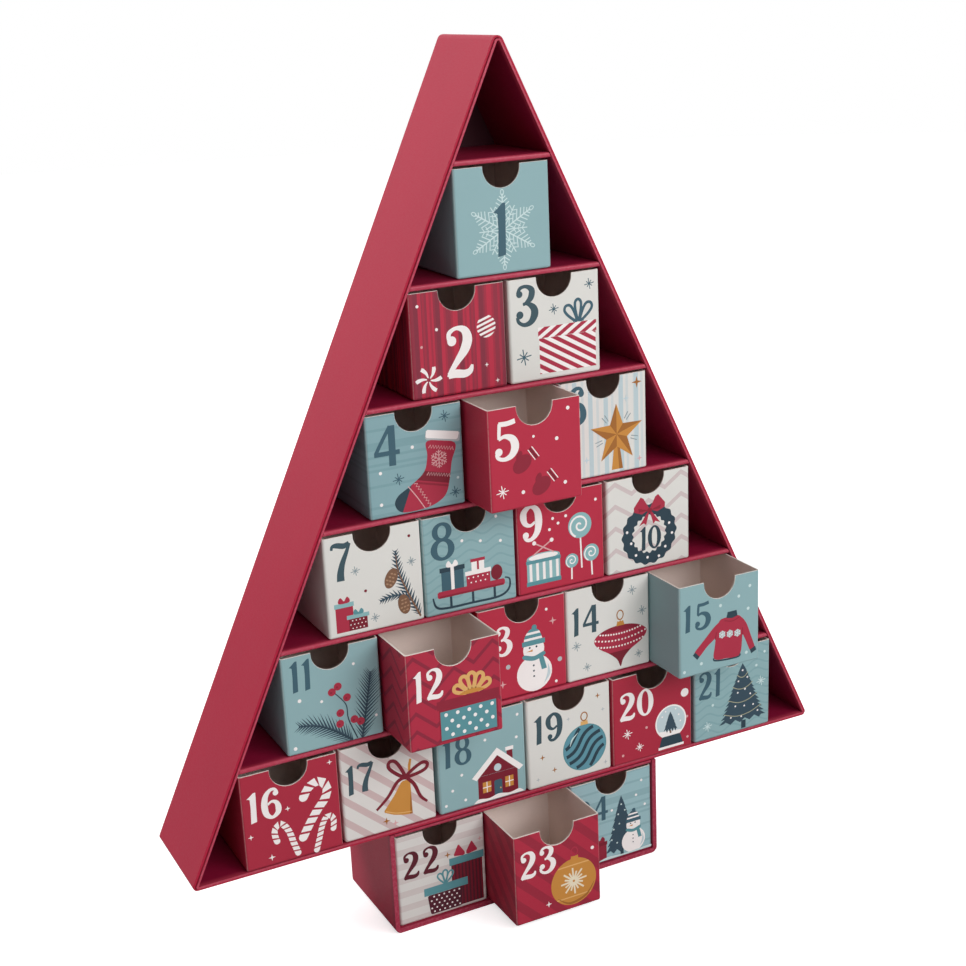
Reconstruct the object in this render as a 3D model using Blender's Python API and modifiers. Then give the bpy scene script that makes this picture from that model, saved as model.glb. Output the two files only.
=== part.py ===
"""Christmas tree advent calendar: a card tree on a trunk, with numbered drawers on shelves.

X runs to the right, Y from the front to the back and Z up. The origin lies under the middle
of the trunk, on the surface that the calendar stands on. Lengths are in metres.
"""

import math
from collections import namedtuple

import bmesh
import bpy
from mathutils import Matrix, Vector

# Drawers: folded card trays, all alike
DRAWER_WIDTH = 0.0500
DRAWER_HEIGHT = 0.0505
DRAWER_DEPTH = 0.0538
CARD_WALL = 0.0009
FOLD_RADIUS = 0.0012
NOTCH_RADIUS = 0.0097
NOTCH_DROP = 0.0008

# Layout: row n of the tree holds n drawers, and the trunk holds three
TREE_ROWS = 6
TRUNK_DRAWERS = 3
DRAWER_SPACING = 0.0010
HEAD_ROOM = 0.0011
TRUNK_HEAD_ROOM = 0.0017
BOTTOM_ROW_END_ROOM = 0.0015
TOP_ROW_END_ROOM = 0.0014
TRUNK_END_ROOM = 0.0005
HOME_RECESS = 0.0014

# Boards
COVER_BOARD = 0.0011
LINER_BOARD = 0.0010
SHELF_BOARD = 0.0025
TRUNK_BOARD = 0.0025
TRUNK_LID_BOARD = 0.0014
BACK_BOARD = 0.0020
RIM_STEP = 0.0008
SHELF_SETBACK = 0.0003

# Roundings
TOP_RADIUS = 0.0030
BASE_CORNER_RADIUS = 0.0020
TRUNK_CORNER_RADIUS = 0.0030
BOARD_EDGE_RADIUS = 0.0003
TRUNK_EDGE_RADIUS = 0.0006
SHELF_EDGE_RADIUS = 0.0010
BACK_TIP_HALF_WIDTH = 0.0020

# Gap between pieces that touch
SEAT = 0.0003

# Fineness of the curved outlines, and of the joining of points that meet
CORNER_STEPS = 3
NOTCH_STEPS = 16
WELD_DISTANCE = 1e-6
FLAT_ANGLE = 1e-3
SAME_PLANE = 1e-5

# How far each drawer stands out from fully home
PULLED_OUT = {
    1: 0.0011, 2: 0.0003, 3: 0.0004, 4: 0.0003, 5: 0.0238, 6: 0.0008,
    7: 0.0014, 8: 0.0017, 9: 0.0013, 10: 0.0015, 11: 0.0015, 12: 0.0296,
    13: 0.0004, 14: 0.0006, 15: 0.0279, 16: 0.0017, 17: 0.0009, 18: 0.0009,
    19: 0.0019, 20: 0.0025, 21: 0.0023, 22: 0.0003, 23: 0.0312, 24: 0.0003,
}

# How far each drawer lies to the right of its even place in the row
SLID_ASIDE = {
    1: -0.0011, 2: -0.0011, 3: -0.0002, 4: -0.0011, 5: -0.0003, 6: 0.0003,
    7: -0.0011, 8: -0.0014, 9: -0.0010, 10: -0.0001, 11: -0.0011, 12: -0.0007,
    13: 0.0011, 14: 0.0006, 15: 0.0002, 16: -0.0012, 17: -0.0008, 18: 0.0003,
    19: 0.0001, 20: 0.0002, 21: 0.0012, 22: 0.0002, 23: 0.0001, 24: 0.0002,
}

# Sizes that follow
ROW_PITCH = SEAT + DRAWER_HEIGHT + HEAD_ROOM + SHELF_BOARD
TREE_DEPTH = HOME_RECESS + DRAWER_DEPTH + SEAT + BACK_BOARD
BACK_FACE = TREE_DEPTH - BACK_BOARD
SHELL_BOARD = COVER_BOARD + SEAT + LINER_BOARD
LID_UNDERSIDE = TRUNK_BOARD + SEAT + DRAWER_HEIGHT + TRUNK_HEAD_ROOM
BASE_UNDERSIDE = LID_UNDERSIDE + TRUNK_LID_BOARD + SEAT
BASE_TOP = BASE_UNDERSIDE + SHELL_BOARD

# Colours, as they read in daylight, and the sheen of printed card
CARD_ROUGHNESS = 0.62
CRIMSON = (0.66, 0.14, 0.24)
DEEP_RED = (0.38, 0.03, 0.09)
SCARLET = (0.74, 0.17, 0.27)
TEAL = (0.56, 0.70, 0.71)
OFF_WHITE = (0.86, 0.85, 0.83)
BLUSH = (0.80, 0.77, 0.76)

DRAWER_COLOURS = {
    TEAL: (1, 4, 8, 11, 15, 18, 21, 24),
    SCARLET: (2, 5, 9, 12, 13, 16, 20, 23),
    OFF_WHITE: (3, 6, 7, 10, 14, 19),
    BLUSH: (17, 22),
}

Corner = namedtuple("Corner", "inside mitre radius board gap")


def row_half_width(count):
    """Half the width of a row of drawers."""
    return (count * DRAWER_WIDTH + (count - 1) * DRAWER_SPACING) / 2


def row_floor(row):
    """Height of the underside of the drawers on a row of the tree, counted from the top."""
    return BASE_TOP + SEAT + (TREE_ROWS - row) * ROW_PITCH


BOTTOM_ROW_TOP = row_floor(TREE_ROWS) + DRAWER_HEIGHT
BOTTOM_ROW_REACH = row_half_width(TREE_ROWS) + BOTTOM_ROW_END_ROOM
TOP_ROW_REACH = row_half_width(1) + TOP_ROW_END_ROOM
SIDE_SLOPE = (BOTTOM_ROW_REACH - TOP_ROW_REACH) / ((TREE_ROWS - 1) * ROW_PITCH)
SIDE_ANGLE = math.atan(SIDE_SLOPE)
TRUNK_REACH = row_half_width(TRUNK_DRAWERS) + TRUNK_END_ROOM


def side_reach(height):
    """Distance from the middle to the inside face of the tree's side at a height."""
    return BOTTOM_ROW_REACH + SIDE_SLOPE * (BOTTOM_ROW_TOP - height)


def clear_scene():
    for item in list(bpy.data.objects):
        bpy.data.objects.remove(item, do_unlink=True)


def new_collection(name):
    collection = bpy.data.collections.new(name)
    bpy.context.scene.collection.children.link(collection)
    return collection


def to_linear(channel):
    """Linear value of a display colour channel."""
    return channel / 12.92 if channel <= 0.04045 else ((channel + 0.055) / 1.055) ** 2.4


def paint(piece, colour):
    material = bpy.data.materials.new(piece.name + "_card")
    material.use_nodes = True
    shader = material.node_tree.nodes["Principled BSDF"]
    linear = [to_linear(channel) for channel in colour]
    shader.inputs["Base Color"].default_value = (*linear, 1.0)
    shader.inputs["Roughness"].default_value = CARD_ROUGHNESS
    shader.inputs["Metallic"].default_value = 0.0
    material.diffuse_color = (*linear, 1.0)
    piece.data.materials.clear()
    piece.data.materials.append(material)


def panel_mesh(name, outline, front, back):
    """Mesh of a flat outline of (x, z) points, made thick from y = front to y = back."""
    curve = bpy.data.curves.new(name, "CURVE")
    curve.dimensions = "2D"
    curve.fill_mode = "BOTH"
    curve.extrude = (back - front) / 2
    spline = curve.splines.new("POLY")
    spline.points.add(len(outline) - 1)
    spline.use_cyclic_u = True
    for point, (x, z) in zip(spline.points, outline):
        point.co = (x, z, 0, 1)
    drawn = bpy.data.objects.new(name, curve)
    bpy.context.scene.collection.objects.link(drawn)
    drawn.rotation_euler.x = math.pi / 2
    drawn.location.y = (front + back) / 2
    bpy.context.view_layer.update()
    evaluated = drawn.evaluated_get(bpy.context.evaluated_depsgraph_get())
    mesh = bpy.data.meshes.new_from_object(evaluated)
    mesh.transform(drawn.matrix_world)
    bpy.data.objects.remove(drawn, do_unlink=True)
    edit = bmesh.new()
    edit.from_mesh(mesh)
    bmesh.ops.remove_doubles(edit, verts=edit.verts, dist=WELD_DISTANCE)
    bmesh.ops.dissolve_limit(edit, angle_limit=FLAT_ANGLE, verts=edit.verts, edges=edit.edges)
    bmesh.ops.recalc_face_normals(edit, faces=edit.faces)
    edit.to_mesh(mesh)
    edit.free()
    return mesh


def round_front(mesh, front, radius, segments=2, long_edges_only=False):
    """Round the edges of a panel that lie in its front face."""
    edit = bmesh.new()
    edit.from_mesh(mesh)
    edges = [e for e in edit.edges if all(abs(v.co.y - front) < SAME_PLANE for v in e.verts)]
    if long_edges_only:
        edges = [e for e in edges if abs(e.verts[0].co.z - e.verts[1].co.z) < SAME_PLANE]
    bmesh.ops.bevel(edit, geom=edges, offset=radius, segments=segments, profile=0.5,
                    affect="EDGES", clamp_overlap=True, material=-1)
    edit.to_mesh(mesh)
    edit.free()


def add_piece(name, mesh, collection, parent, colour, location=(0, 0, 0)):
    piece = bpy.data.objects.new(name, mesh)
    collection.objects.link(piece)
    piece.parent = parent
    piece.location = location
    mesh.name = name
    paint(piece, colour)
    return piece


def corner_points(corner, offset, start, end):
    """Points of a board's face at a corner, a given distance out from the inside face."""
    radius = corner.radius - corner.board + offset
    if radius < SEAT:
        return [corner.inside + corner.mitre * offset]
    centre = corner.inside + corner.mitre * (corner.board - corner.radius)
    turns = [start + (end - start) * i / CORNER_STEPS for i in range(CORNER_STEPS + 1)]
    return [centre + radius * Vector((math.cos(turn), math.sin(turn))) for turn in turns]


def board_outline(first, last, facing, inside, outside):
    """Outline of a straight board from one corner to the next.

    facing is the angle that its outside face looks to; inside and outside are the distances
    of its two faces from the inside face of the whole wall.
    """
    along = (last.inside - first.inside).normalized()
    faces = []
    for offset in (outside, inside):
        face = []
        for corner, way in ((first, 1), (last, -1)):
            lean = corner.mitre.normalized()
            mitre_angle = math.atan2(lean.y, lean.x)
            start, end = (mitre_angle, facing) if way == 1 else (facing, mitre_angle)
            setback = corner.gap / abs(along.cross(lean))
            face += [p + along * way * setback for p in corner_points(corner, offset, start, end)]
        faces.append(face)
    return faces[0] + faces[1][::-1]


def mirrored(mesh):
    """Copy of a mesh, turned over left to right."""
    copy = mesh.copy()
    copy.transform(Matrix.Diagonal((-1, 1, 1, 1)))
    copy.flip_normals()
    return copy


def tree_corners():
    sine, cosine = math.sin(SIDE_ANGLE), math.cos(SIDE_ANGLE)
    peak = BOTTOM_ROW_TOP + BOTTOM_ROW_REACH / SIDE_SLOPE
    top = Corner(Vector((0, peak)), Vector((0, 1 / sine)), TOP_RADIUS, SHELL_BOARD, SEAT / 2)
    spread = (1 + sine) / cosine
    right = Corner(Vector((side_reach(BASE_TOP), BASE_TOP)), Vector((spread, -1)),
                   BASE_CORNER_RADIUS, SHELL_BOARD, SEAT / 2)
    left = Corner(Vector((-side_reach(BASE_TOP), BASE_TOP)), Vector((-spread, -1)),
                  BASE_CORNER_RADIUS, SHELL_BOARD, SEAT / 2)
    return top, right, left


def make_tree_shell(collection, frame):
    """The tree's three sides, each an outer cover board with a liner board inside it."""
    top, right, left = tree_corners()
    plies = (
        ("cover", LINER_BOARD + SEAT, SHELL_BOARD, RIM_STEP),
        ("liner", 0, LINER_BOARD, 0),
    )
    for ply, inside, outside, front in plies:
        side = panel_mesh(ply, board_outline(top, right, SIDE_ANGLE, inside, outside),
                          front, TREE_DEPTH)
        base = panel_mesh(ply, board_outline(left, right, -math.pi / 2, inside, outside),
                          front, TREE_DEPTH)
        for mesh in (side, base):
            round_front(mesh, front, BOARD_EDGE_RADIUS)
        add_piece(ply + "_left", mirrored(side), collection, frame, CRIMSON)
        add_piece(ply + "_right", side, collection, frame, CRIMSON)
        add_piece(ply + "_base", base, collection, frame, CRIMSON)


def make_back(collection, frame):
    """Triangular back board, set between the liner boards."""
    top, right, left = tree_corners()
    low_right = right.inside - right.mitre * SEAT
    low_left = left.inside - left.mitre * SEAT
    tip_height = top.inside.y - (SEAT / math.sin(SIDE_ANGLE) + BACK_TIP_HALF_WIDTH / SIDE_SLOPE)
    tip = [Vector((way * BACK_TIP_HALF_WIDTH, tip_height)) for way in (1, -1)]
    outline = [low_left, low_right, *tip]
    mesh = panel_mesh("back", outline, BACK_FACE, TREE_DEPTH)
    add_piece("back_board", mesh, collection, frame, DEEP_RED)


def make_shelves(collection, frame):
    """One shelf above each row; the top one is the floor of the open top compartment."""
    end_gap = SEAT / math.cos(SIDE_ANGLE)
    for row in range(1, TREE_ROWS + 1):
        underside = row_floor(row) + DRAWER_HEIGHT + HEAD_ROOM
        low = side_reach(underside) - end_gap
        high = side_reach(underside + SHELF_BOARD) - end_gap
        outline = [(-low, 0), (low, 0), (high, SHELF_BOARD), (-high, SHELF_BOARD)]
        mesh = panel_mesh("shelf", outline, SHELF_SETBACK, BACK_FACE - SEAT)
        round_front(mesh, SHELF_SETBACK, SHELF_EDGE_RADIUS, segments=3, long_edges_only=True)
        add_piece(f"shelf_{row}", mesh, collection, frame, CRIMSON, (0, 0, underside))


def make_trunk(collection, frame):
    """Box under the tree: two sides and a floor, with a lid board and a back between them."""
    floor_right = Corner(Vector((TRUNK_REACH, TRUNK_BOARD)), Vector((1, -1)),
                         TRUNK_CORNER_RADIUS, TRUNK_BOARD, SEAT / 2)
    floor_left = Corner(Vector((-TRUNK_REACH, TRUNK_BOARD)), Vector((-1, -1)),
                        TRUNK_CORNER_RADIUS, TRUNK_BOARD, SEAT / 2)
    side_top = Corner(Vector((TRUNK_REACH, BASE_UNDERSIDE)), Vector((1, 0)),
                      0, TRUNK_BOARD, SEAT)
    side = panel_mesh("side", board_outline(side_top, floor_right, 0, 0, TRUNK_BOARD),
                      0, TREE_DEPTH)
    floor = panel_mesh("floor", board_outline(floor_left, floor_right, -math.pi / 2, 0,
                                              TRUNK_BOARD), 0, TREE_DEPTH)
    reach = TRUNK_REACH - SEAT
    lid = panel_mesh("lid", [(-reach, 0), (reach, 0), (reach, TRUNK_LID_BOARD),
                             (-reach, TRUNK_LID_BOARD)], SHELF_SETBACK, TREE_DEPTH)
    for mesh, front, radius in ((side, 0, TRUNK_EDGE_RADIUS), (floor, 0, TRUNK_EDGE_RADIUS),
                                (lid, SHELF_SETBACK, BOARD_EDGE_RADIUS)):
        round_front(mesh, front, radius)
    back_low = TRUNK_BOARD + SEAT
    back_high = LID_UNDERSIDE - SEAT
    back = panel_mesh("back", [(-reach, back_low), (reach, back_low), (reach, back_high),
                               (-reach, back_high)], BACK_FACE, TREE_DEPTH)
    add_piece("trunk_left", mirrored(side), collection, frame, CRIMSON)
    add_piece("trunk_right", side, collection, frame, CRIMSON)
    add_piece("trunk_floor", floor, collection, frame, CRIMSON)
    add_piece("trunk_lid", lid, collection, frame, CRIMSON, (0, 0, LID_UNDERSIDE))
    add_piece("trunk_back", back, collection, frame, DEEP_RED)


def notch_cutter(collection):
    """Half-round finger notch with short straight sides, open at the top."""
    centre = DRAWER_HEIGHT - NOTCH_DROP
    outline = [(NOTCH_RADIUS * math.cos(turn), centre + NOTCH_RADIUS * math.sin(turn))
               for turn in (-math.pi * i / NOTCH_STEPS for i in range(NOTCH_STEPS + 1))]
    above = centre + NOTCH_RADIUS
    outline += [(-NOTCH_RADIUS, above), (NOTCH_RADIUS, above)]
    mesh = panel_mesh("notch", outline, -CARD_WALL, 2 * CARD_WALL)
    cutter = bpy.data.objects.new("notch_cutter", mesh)
    collection.objects.link(cutter)
    cutter.hide_render = True
    cutter.display_type = "WIRE"
    return cutter


def tray_mesh(cutter):
    """Open card tray with rounded folds; its origin is under the middle of its front."""
    mesh = bpy.data.meshes.new("tray")
    edit = bmesh.new()
    bmesh.ops.create_cube(edit, size=1)
    bmesh.ops.scale(edit, vec=(DRAWER_WIDTH, DRAWER_DEPTH, DRAWER_HEIGHT), verts=edit.verts)
    bmesh.ops.translate(edit, vec=(0, DRAWER_DEPTH / 2, DRAWER_HEIGHT / 2), verts=edit.verts)
    mouth = [face for face in edit.faces if face.normal.z > 0.5]
    bmesh.ops.delete(edit, geom=mouth, context="FACES")
    folds = [edge for edge in edit.edges if len(edge.link_faces) == 2]
    bmesh.ops.bevel(edit, geom=folds, offset=FOLD_RADIUS, segments=2, profile=0.5,
                    affect="EDGES", clamp_overlap=True, material=-1)
    edit.to_mesh(mesh)
    edit.free()
    tray = bpy.data.objects.new("tray", mesh)
    bpy.context.scene.collection.objects.link(tray)
    wall = tray.modifiers.new("card", "SOLIDIFY")
    wall.thickness = CARD_WALL
    wall.offset = -1
    wall.use_even_offset = True
    notch = tray.modifiers.new("notch", "BOOLEAN")
    notch.operation = "DIFFERENCE"
    notch.solver = "EXACT"
    notch.object = cutter
    bpy.context.view_layer.update()
    evaluated = tray.evaluated_get(bpy.context.evaluated_depsgraph_get())
    finished = bpy.data.meshes.new_from_object(evaluated)
    bpy.data.objects.remove(tray, do_unlink=True)
    return finished


def make_drawers(collection, frame, cutters):
    """Numbered drawers, row by row from the top, then the three in the trunk."""
    tray = tray_mesh(notch_cutter(cutters))
    colours = {number: colour for colour, numbers in DRAWER_COLOURS.items() for number in numbers}
    rows = [(row, row_floor(row)) for row in range(1, TREE_ROWS + 1)]
    rows.append((TRUNK_DRAWERS, TRUNK_BOARD + SEAT))
    number = 0
    for count, floor in rows:
        for place in range(count):
            number += 1
            across = (place - (count - 1) / 2) * (DRAWER_WIDTH + DRAWER_SPACING)
            across += SLID_ASIDE.get(number, 0)
            front = HOME_RECESS - PULLED_OUT.get(number, 0)
            add_piece(f"drawer_{number:02d}", tray.copy(), collection, frame,
                      colours.get(number, TEAL), (across, front, floor))


def main():
    clear_scene()
    parts = new_collection("christmas_tree_advent_calendar")
    cutters = new_collection("cutters")
    frame = bpy.data.objects.new("calendar", None)
    frame.location.y = -TREE_DEPTH / 2
    parts.objects.link(frame)
    make_tree_shell(parts, frame)
    make_back(parts, frame)
    make_shelves(parts, frame)
    make_trunk(parts, frame)
    make_drawers(parts, frame, cutters)


main()
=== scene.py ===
"""Looks of the Christmas tree advent calendar: paper-wrapped boards, printed card drawers, studio.

Lengths are in metres. Pictures on the drawers are drawn in millimetres, from the lower left
corner of the drawer's front.
"""

import math

import bmesh
import bpy
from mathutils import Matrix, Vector


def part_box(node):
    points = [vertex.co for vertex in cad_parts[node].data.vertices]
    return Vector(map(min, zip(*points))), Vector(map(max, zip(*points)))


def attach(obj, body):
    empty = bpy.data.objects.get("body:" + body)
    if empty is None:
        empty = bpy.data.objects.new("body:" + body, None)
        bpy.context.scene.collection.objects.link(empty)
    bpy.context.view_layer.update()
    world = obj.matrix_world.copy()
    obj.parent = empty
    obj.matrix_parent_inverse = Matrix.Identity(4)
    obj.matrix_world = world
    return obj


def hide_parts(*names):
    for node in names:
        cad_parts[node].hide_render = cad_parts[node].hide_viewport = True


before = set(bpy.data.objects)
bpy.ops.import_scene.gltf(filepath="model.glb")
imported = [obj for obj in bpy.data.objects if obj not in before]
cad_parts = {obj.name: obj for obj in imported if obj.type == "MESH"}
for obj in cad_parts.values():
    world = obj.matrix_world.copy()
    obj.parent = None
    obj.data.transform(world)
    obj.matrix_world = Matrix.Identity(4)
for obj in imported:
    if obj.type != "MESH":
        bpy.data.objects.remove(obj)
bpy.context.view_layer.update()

MM = 0.001

# Trays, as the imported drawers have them
DRAWERS = 24
CARD_WALL = 0.0009
HALF_WIDTH = 0.0250
WELD_DISTANCE = 1e-6
FLAT_ANGLE = 1e-3
RIM_SOFTENING = 0.00012
RIM_SEGMENTS = 2
OUTER_SHARE = 0.8  # of the wall: what is nearer to an outer plane belongs to the outside
SQUARE = 0.999  # a normal's longest part, for faces square to an axis
FACING = 0.7  # a normal's part along an axis, for faces that look that way

# Prints: each layer of ink lies a step in front of the one under it, and all go into the card
INK_STEP = 0.00002
INK_DEPTH = 0.00020

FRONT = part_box("liner_left")[0].y
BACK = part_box("back_board")[1].y


def colour(code):
    """Linear colour of a display colour written as six hex digits."""
    channels = [int(code[i:i + 2], 16) / 255 for i in (0, 2, 4)]
    linear = [c / 12.92 if c <= 0.04045 else ((c + 0.055) / 1.055) ** 2.4 for c in channels]
    return (*linear, 1.0)


# Shader nodes

def add_node(tree, kind, values=None, **settings):
    """Node of a kind, with settings made and sockets set or linked."""
    node = tree.nodes.new("ShaderNode" + kind)
    for setting, value in settings.items():
        setattr(node, setting, value)
    fill_sockets(tree, node, values or {})
    return node


def fill_sockets(tree, node, values):
    for socket, value in values.items():
        if isinstance(value, bpy.types.NodeSocket):
            tree.links.new(value, node.inputs[socket])
        else:
            node.inputs[socket].default_value = value


def add_group(tree, group, values):
    node = tree.nodes.new("ShaderNodeGroup")
    node.node_tree = group
    fill_sockets(tree, node, values)
    return node.outputs


def calculate(tree, operation, *values):
    """Result of a Math node."""
    return add_node(tree, "Math", dict(enumerate(values)), operation=operation).outputs[0]


def ramp_up(tree, value, low, high):
    """0 below low, 1 above high, eased between."""
    node = add_node(tree, "MapRange", {"Value": value, "From Min": low, "From Max": high},
                    interpolation_type="SMOOTHSTEP")
    return node.outputs["Result"]


def blend_colours(tree, mask, under, over):
    node = add_node(tree, "Mix", data_type="RGBA")
    fill_sockets(tree, node, {0: mask, 6: under, 7: over})
    return node.outputs[2]


def noise(tree, place, scale, detail, roughness=0.5):
    values = {"Vector": place, "Scale": scale, "Detail": detail, "Roughness": roughness}
    return add_node(tree, "TexNoise", values).outputs[0]


def new_group(name, inputs, outputs):
    """Empty shader node group; returns it with its input and output sockets."""
    group = bpy.data.node_groups.new(name, "ShaderNodeTree")
    for label, value in inputs.items():
        kind = {3: "Vector", 4: "Color"}.get(len(value) if isinstance(value, tuple) else 1, "Float")
        socket = group.interface.new_socket(name=label, in_out="INPUT",
                                            socket_type="NodeSocket" + kind)
        socket.default_value = value
    for label, kind in outputs.items():
        group.interface.new_socket(name=label, in_out="OUTPUT", socket_type="NodeSocket" + kind)
    return group, group.nodes.new("NodeGroupInput").outputs, group.nodes.new("NodeGroupOutput")


# Noise of each sort, and how strongly it shows
CLOUD = {"scale": 28.0, "detail": 4.0}
SPECK = {"scale": 1500.0, "detail": 2.0}
FIBRE = {"scale": 420.0, "detail": 5.0, "roughness": 0.65}
EDGE_WEAR = {"scale": 620.0, "detail": 4.0, "roughness": 0.6}
# Noise that breaks up the folds' wear and painted highlight
FOLD_MARK_NOISE = {"scale": 320.0, "detail": 5.0, "roughness": 0.7}
FIBRE_SQUEEZE = (1.0, 1.0, 5.0)
MEAN_NOISE = 0.5
CLOUD_SHARE, FIBRE_SHARE = 1.2, 0.8
SPECK_RISE = 0.35
SHEEN_SPREAD = 0.30

# Where wear starts and where it is whole, in values of its noise; along the folds the same mask is
# also a painted highlight
EDGE_BREAKS = (0.42, 0.70)
FOLD_BREAKS = (0.24, 0.56)


def make_paper_grain():
    """Mottle and short fibres of paper: uneven colour, sheen and a fine height."""
    group, given, result = new_group(
        "paper_grain", {"Colour": (0.5, 0.5, 0.5, 1.0), "Mottle": 0.06, "Sheen": 0.5},
        {"Colour": "Color", "Roughness": "Float", "Height": "Float"})
    place = add_node(group, "TexCoord").outputs["Object"]
    lengthwise = add_node(group, "Mapping", {"Vector": place, "Scale": FIBRE_SQUEEZE})
    cloud = noise(group, place, **CLOUD)
    speck = noise(group, place, **SPECK)
    fibre = noise(group, lengthwise.outputs[0], **FIBRE)
    uneven = calculate(group, "ADD", calculate(group, "MULTIPLY", cloud, CLOUD_SHARE),
                       calculate(group, "MULTIPLY", fibre, FIBRE_SHARE))
    uneven = calculate(group, "SUBTRACT", uneven, (CLOUD_SHARE + FIBRE_SHARE) * MEAN_NOISE)
    value = calculate(group, "MULTIPLY_ADD", uneven, given["Mottle"], 1.0)
    tinted = add_node(group, "HueSaturation", {"Color": given["Colour"], "Value": value})
    dull = calculate(group, "SUBTRACT", fibre, MEAN_NOISE)
    sheen = calculate(group, "MULTIPLY_ADD", dull, SHEEN_SPREAD, given["Sheen"])
    rise = calculate(group, "ADD", calculate(group, "MULTIPLY", speck, SPECK_RISE), fibre)
    fill_sockets(group, result, {
        "Colour": tinted.outputs[0], "Roughness": sheen, "Height": rise})
    return group


def wear(group, given, place, distance, grain, breaks):
    """Mask that is whole at distance 0 and gone at the given reach, broken up by noise."""
    near = calculate(group, "SUBTRACT", 1.0, ramp_up(group, distance, 0.0, given["Reach"]))
    broken = ramp_up(group, noise(group, place, **grain), *breaks)
    return calculate(group, "MULTIPLY", calculate(group, "MULTIPLY", near, broken),
                     given["Amount"])


def make_edge_rub():
    """Mask of rubbed paper along the front and back edges of the boards."""
    group, given, result = new_group(
        "edge_rub", {"Reach": 0.0009, "Amount": 0.32}, {"Mask": "Float"})
    place = add_node(group, "TexCoord").outputs["Object"]
    y = add_node(group, "SeparateXYZ", {0: place}).outputs["Y"]
    inward = calculate(group, "MINIMUM", calculate(group, "SUBTRACT", y, FRONT),
                       calculate(group, "SUBTRACT", BACK, y))
    fill_sockets(group, result, {
        "Mask": wear(group, given, place, inward, EDGE_WEAR, EDGE_BREAKS)})
    return group


def make_fold_rub():
    """Mask of pale card along a tray's folds: print rubbed off, and a painted highlight where the
    folds catch light.
    """
    group, given, result = new_group(
        "worn_folds_with_highlight", {"Place": (0.0, 0.0, 0.0), "Reach": 0.0006, "Amount": 0.26},
        {"Mask": "Float"})
    across = add_node(group, "SeparateXYZ", {0: given["Place"]}).outputs
    upright = calculate(group, "SUBTRACT", calculate(group, "ABSOLUTE", across["X"]), HALF_WIDTH)
    nearest = calculate(group, "MINIMUM", calculate(group, "ABSOLUTE", upright),
                        calculate(group, "ABSOLUTE", across["Y"]))
    fill_sockets(group, result, {
        "Mask": wear(group, given, given["Place"], nearest, FOLD_MARK_NOISE, FOLD_BREAKS)})
    return group


def make_printed_lines():
    """Mask of parallel lines on unfolded card: straight, slanted, zigzag or waved.

    Tone is an even random value for each line, for lines of uneven strength.
    """
    group, given, result = new_group(
        "printed_lines",
        {"Place": (0.0, 0.0, 0.0), "Along": 0.0, "Up": 1.0, "Spacing": 0.01, "Share": 0.5,
         "Swing": 0.0, "Period": 0.016, "Roundness": 0.0, "Start": 0.0},
        {"Mask": "Float", "Tone": "Float"})
    place = add_node(group, "SeparateXYZ", {0: given["Place"]}).outputs
    steps = calculate(group, "DIVIDE", place["X"], given["Period"])
    sharp = calculate(group, "MULTIPLY", calculate(group, "PINGPONG", steps, 0.5), 2.0)
    rounded = ramp_up(group, sharp, 0.0, 1.0)
    bend = calculate(group, "ADD", sharp,
                     calculate(group, "MULTIPLY", calculate(group, "SUBTRACT", rounded, sharp),
                               given["Roundness"]))
    level = calculate(group, "MULTIPLY", place["Y"], given["Up"])
    level = calculate(group, "MULTIPLY_ADD", place["X"], given["Along"], level)
    level = calculate(group, "MULTIPLY_ADD", bend, given["Swing"], level)
    level = calculate(group, "ADD", level, given["Start"])
    count = calculate(group, "DIVIDE", level, given["Spacing"])
    mask = calculate(group, "LESS_THAN", calculate(group, "FRACT", count), given["Share"])
    tone = add_node(group, "TexWhiteNoise", {"W": calculate(group, "FLOOR", count)},
                    noise_dimensions="1D").outputs["Value"]
    fill_sockets(group, result, {"Mask": mask, "Tone": tone})
    return group


PAPER_GRAIN = make_paper_grain()
EDGE_RUB = make_edge_rub()
WORN_FOLDS_WITH_HIGHLIGHT = make_fold_rub()
PRINTED_LINES = make_printed_lines()


PAPER_GLOSS = 0.35
BUMP_STRENGTH = 0.5

# Mottle, sheen and height of the grain of each sort of paper
BOARD_MOTTLE, BOARD_SHEEN, BOARD_RELIEF = 0.10, 0.46, 0.00008
CARD_MOTTLE, CARD_SHEEN, CARD_RELIEF = 0.05, 0.56, 0.00005
BARE_MOTTLE, BARE_SHEEN, BARE_RELIEF = 0.12, 0.75, 0.00010
INK_MOTTLE, INK_SHEEN, INK_RELIEF = 0.05, 0.50, 0.00003
BACK_SHEEN = 0.50
COVER_SHEEN, COVER_GLOSS = 0.44, 0.22


def new_material(name, gloss=PAPER_GLOSS):
    material = bpy.data.materials.new(name)
    material.use_nodes = True
    shader = material.node_tree.nodes["Principled BSDF"]
    shader.inputs["Metallic"].default_value = 0.0
    shader.inputs["Specular IOR Level"].default_value = gloss
    return material, material.node_tree, shader


def finish_paper(tree, shader, ground, mottle, sheen, relief):
    """Paper grain over a colour, with its roughness and bump."""
    paper = add_group(tree, PAPER_GRAIN, {"Colour": ground, "Mottle": mottle, "Sheen": sheen})
    bump = add_node(tree, "Bump", {"Height": paper["Height"], "Strength": BUMP_STRENGTH,
                                   "Distance": relief})
    fill_sockets(tree, shader, {"Base Color": paper["Colour"],
                                "Roughness": paper["Roughness"],
                                "Normal": bump.outputs[0]})


def blend_along_depth(tree, first, second, start, end):
    """First colour up to y = start, second colour from y = end on."""
    place = add_node(tree, "TexCoord").outputs["Object"]
    y = add_node(tree, "SeparateXYZ", {0: place}).outputs["Y"]
    return blend_colours(tree, ramp_up(tree, y, start, end), colour(first), colour(second))


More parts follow.
